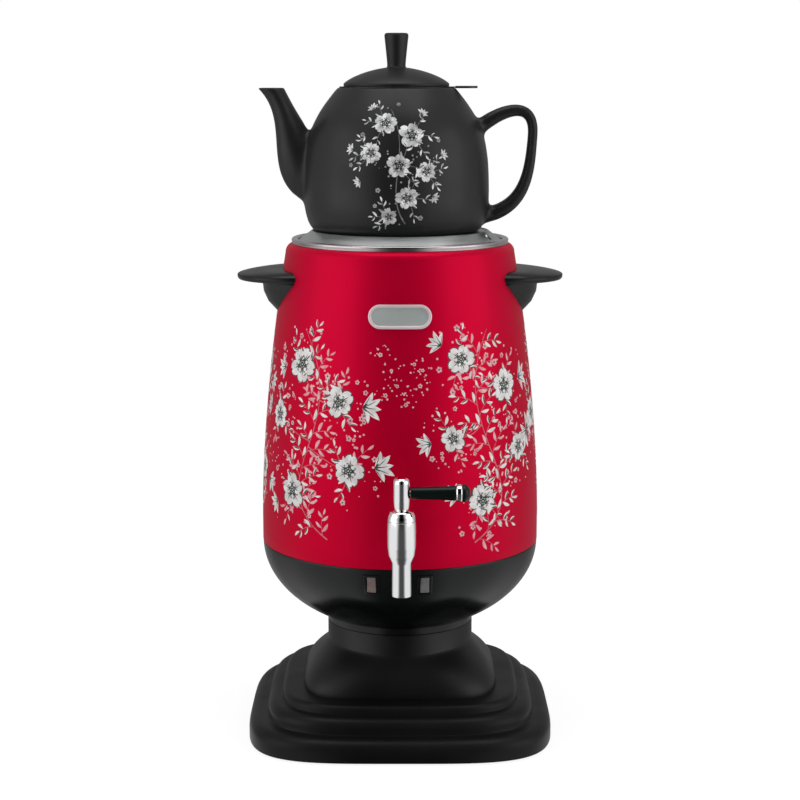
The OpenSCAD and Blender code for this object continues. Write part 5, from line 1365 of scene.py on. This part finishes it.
def casing_print():
    """Two rising branches beside the tap, a smaller one on each flank, and dots below the badge."""

    def wall(u, v, offset):
        a = u / CASING_R
        r = casing_radius(v) + offset
        return r * math.sin(a), -r * math.cos(a), v

    p = Print(wall, lambda v: CASING_R / casing_radius(v))
    along = math.radians(1) * CASING_R
    for path, blossoms in BRANCHES:
        p.next_group()
        line = p.stem([(a * along, z) for a, z in path], 0.45)
        for i in range(2, len(line) - 1, 5):
            d = line[i + 1] - line[i - 1]
            heading = math.degrees(math.atan2(d[1], d[0]))
            side = 1 if (i // 5) % 2 else -1
            ink = "pink" if CHANCE.random() < 0.35 else "white"
            p.spray(*line[i], heading + side * 42, CHANCE.uniform(14, 20), side * 35, 7.2, ink)
        for k, (a, z, size) in enumerate(blossoms):
            u = a * along
            near = min(line, key=lambda q: math.hypot(q[0] - u, q[1] - z))
            bow = ((u + near[0]) / 2 + 3, (z + near[1]) / 2 - 3)
            p.stem([tuple(near), bow, bow, (u, z)], 0.35)
            heading = math.degrees(math.atan2(z - near[1], u - near[0]))
            for turn, ink in ((-75, "white"), (80, "pink"), (165, "white")):
                p.spray(u, z, heading + turn, size * 1.9, CHANCE.uniform(-40, 40), 6.8, ink)
            p.blossom(u, z, size)
            tilt = math.radians(heading + CHANCE.uniform(-35, 35))
            p.half_blossom(*around(u, z, size * 1.75, tilt), math.degrees(tilt), 14 if k % 2 else 11)
            for _ in range(7):
                b = CHANCE.uniform(0, 2 * math.pi)
                far = size * CHANCE.uniform(1.35, 2.4)
                p.small_blossom(*around(u, z, far, b), CHANCE.uniform(1.4, 2.5))
            p.sprinkle(u, z, size * 2.6, 34, (0.35, 0.95))
    p.next_group()
    for u, v in SPECKS:
        p.small_blossom(u, v, CHANCE.uniform(1.1, 1.8))
        p.sprinkle(u, v, 8, 10, (0.3, 0.8))
    p.skins("flowers", STAND, CASING_INK, 2.8)


def pot_print():
    """A bouquet on the teapot's front."""
    radii, heights = np.array(pot_side(96)).T
    length = np.concatenate(([0], np.cumsum(np.hypot(np.diff(radii), np.diff(heights)))))

    def at(v):
        return np.array((np.interp(v, length, radii), np.interp(v, length, heights)))

    def wall(u, v, offset):
        r, z = at(v)
        ahead, rise = at(v + 0.5) - at(v - 0.5)
        norm = math.hypot(ahead, rise)
        a = u / POT_R
        r += (offset + 0.05) * rise / norm
        z -= (offset + 0.05) * ahead / norm
        return POT_X + r * math.sin(a), -r * math.cos(a), SEAT_Z + z

    p = Print(wall, lambda v: POT_R / float(at(v)[0]))
    p.stem([(6, 12), (-10, 34), (12, 58), (-4, 88)], 0.45)
    for u, v, size in POT_BLOSSOMS:
        heading = 0 if u > 0 else 180
        for turn in (-60, 0, 55):
            p.spray(u, v, heading + turn, size * 1.9, CHANCE.uniform(-35, 35), 4.8)
        p.blossom(u, v, size)
        p.sprinkle(u, v, size * 1.8, 8, (0.3, 0.7))
    for u, v, turn in POT_BUDS:
        p.half_blossom(u, v, turn, 5.5)
    for u, v in POT_SPECKS:
        p.small_blossom(u, v, CHANCE.uniform(1.3, 2.0))
    p.skins("pot_flowers", "pot", POT_INK, 2.4)


casing_print()
pot_print()

# --- Camera, lamps and background, in metres

camera = bpy.data.cameras.new("camera")
camera.lens = 85.84
camera.sensor_width = 36
camera_object = bpy.data.objects.new("camera", camera)
camera_object.location = (0, -1.3, 0.451)
camera_object.rotation_euler = (math.pi / 2 - 0.17, 0, 0)
bpy.context.scene.collection.objects.link(camera_object)
bpy.context.scene.camera = camera_object

# Softboxes: place, target, size and power
LAMPS = {
    "softbox_left": ((-1.5, -0.7, 0.6), (0, 0, 0.25), (1.5, 1.6), 8.5),
    "softbox_right": ((1.5, -0.7, 0.6), (0, 0, 0.25), (1.5, 1.6), 9),
    "softbox_top": ((0, -0.1, 1.9), (0, 0, 0.3), (1.6, 1.2), 12),
}
for name, (place, target, size, power) in LAMPS.items():
    data = bpy.data.lights.new(name, "AREA")
    data.shape = "RECTANGLE"
    data.size, data.size_y = size
    data.energy = power
    lamp = linked(data, name)
    lamp.location = place
    lamp.rotation_euler = (Vector(target) - Vector(place)).to_track_quat("-Z", "Y").to_euler()


class Studio(Nodes):
    """The world or floor. Mirrors see a dimmer room than the camera does, dark towards the front."""

    def __init__(self, owner, coordinates, emitter, sides):
        super().__init__(owner)
        self.tree.nodes.clear()
        self.ray = self.node("ShaderNodeLightPath").outputs
        self.place = self.node("ShaderNodeTexCoord").outputs[coordinates]
        flat = self.node("ShaderNodeVectorMath", operation="MULTIPLY")
        flat.inputs[1].default_value = (1, 1, 0)
        unit = self.node("ShaderNodeVectorMath", operation="NORMALIZE")
        apart = self.node("ShaderNodeSeparateXYZ")
        self.link(self.place, flat.inputs[0])
        self.link(flat.outputs["Vector"], unit.inputs[0])
        self.link(unit.outputs["Vector"], apart.inputs["Vector"])
        front = self.soft(apart.outputs["Y"], 0, 1, -0.985, -0.8)
        room = self.calculated("MULTIPLY", front, self.soft(apart.outputs["Y"], *sides))
        mirrored = self.node(emitter)
        self.link(room, mirrored.inputs["Color"])
        self.mirrored = mirrored.outputs[0]
        self.seen = self.calculated("MAXIMUM", self.ray["Is Camera Ray"], self.ray["Is Transmission Ray"])

    def soft(self, value, low, high, start, end):
        return self.spread(value, low, high, start, end, "SMOOTHSTEP")

    def calculated(self, operation, one, two):
        made = self.node("ShaderNodeMath", operation=operation)
        self.link(one, made.inputs[0])
        if isinstance(two, float):
            made.inputs[1].default_value = two
        else:
            self.link(two, made.inputs[1])
        return made.outputs["Value"]

    def mixed(self, share, one, two=None):
        """One and two by share. Without two, nothing takes its place."""
        made = self.node("ShaderNodeMixShader")
        self.link(share, made.inputs["Fac"])
        self.link(one, made.inputs[1])
        if two:
            self.link(two, made.inputs[2])
        return made.outputs["Shader"]

    def show(self, shader, kind):
        self.link(shader, self.node(kind).inputs["Surface"])


def studio_world():
    world = bpy.data.worlds.new("studio")
    bpy.context.scene.world = world
    s = Studio(world, "Generated", "ShaderNodeBackground", (0.58, 0.36, 0.0, 0.75))
    lit = s.node("ShaderNodeBackground", Color=(0.4, 0.4, 0.41, 1)).outputs[0]
    white = s.node("ShaderNodeBackground", Color=(1, 1, 1, 1)).outputs[0]
    s.show(s.mixed(s.seen, s.mixed(s.ray["Is Glossy Ray"], lit, s.mirrored), white), "ShaderNodeOutputWorld")


def studio_floor(half=30.0):
    """A pale floor that the camera sees as white with the object's soft shadow."""
    mesh = bpy.data.meshes.new("floor")
    corners = [(-half, -half, 0), (half, -half, 0), (half, half, 0), (-half, half, 0)]
    mesh.from_pydata(corners, [], [(0, 1, 2, 3)])
    linked(mesh, "floor")
    material = bpy.data.materials.new("floor")
    mesh.materials.append(material)
    s = Studio(material, "Object", "ShaderNodeEmission", (0.85, 0.3, -0.1, 0.6))
    plain = s.node("ShaderNodeBsdfDiffuse", Color=(0.8, 0.8, 0.8, 1)).outputs[0]
    plain = s.mixed(s.calculated("MULTIPLY", s.ray["Is Glossy Ray"], 0.9), plain, s.mirrored)
    length = s.node("ShaderNodeVectorMath", operation="LENGTH")
    s.link(s.place, length.inputs[0])
    # Near the object the camera sees some of the lit floor, and with it the shadow
    hidden = s.calculated("MULTIPLY", s.seen, s.soft(length.outputs["Value"], 0.72, 1.0, 0.2, 0.6))
    glow = s.calculated("MULTIPLY", s.seen, s.soft(length.outputs["Value"], 0.864, 1.0, 0.2, 0.6))
    white = s.node("ShaderNodeEmission")
    s.link(glow, white.inputs["Strength"])
    total = s.node("ShaderNodeAddShader")
    s.link(s.mixed(hidden, plain), total.inputs[0])
    s.link(white.outputs[0], total.inputs[1])
    s.show(total.outputs[0], "ShaderNodeOutputMaterial")


studio_world()
studio_floor()
bpy.context.scene.view_settings.view_transform = "Standard"
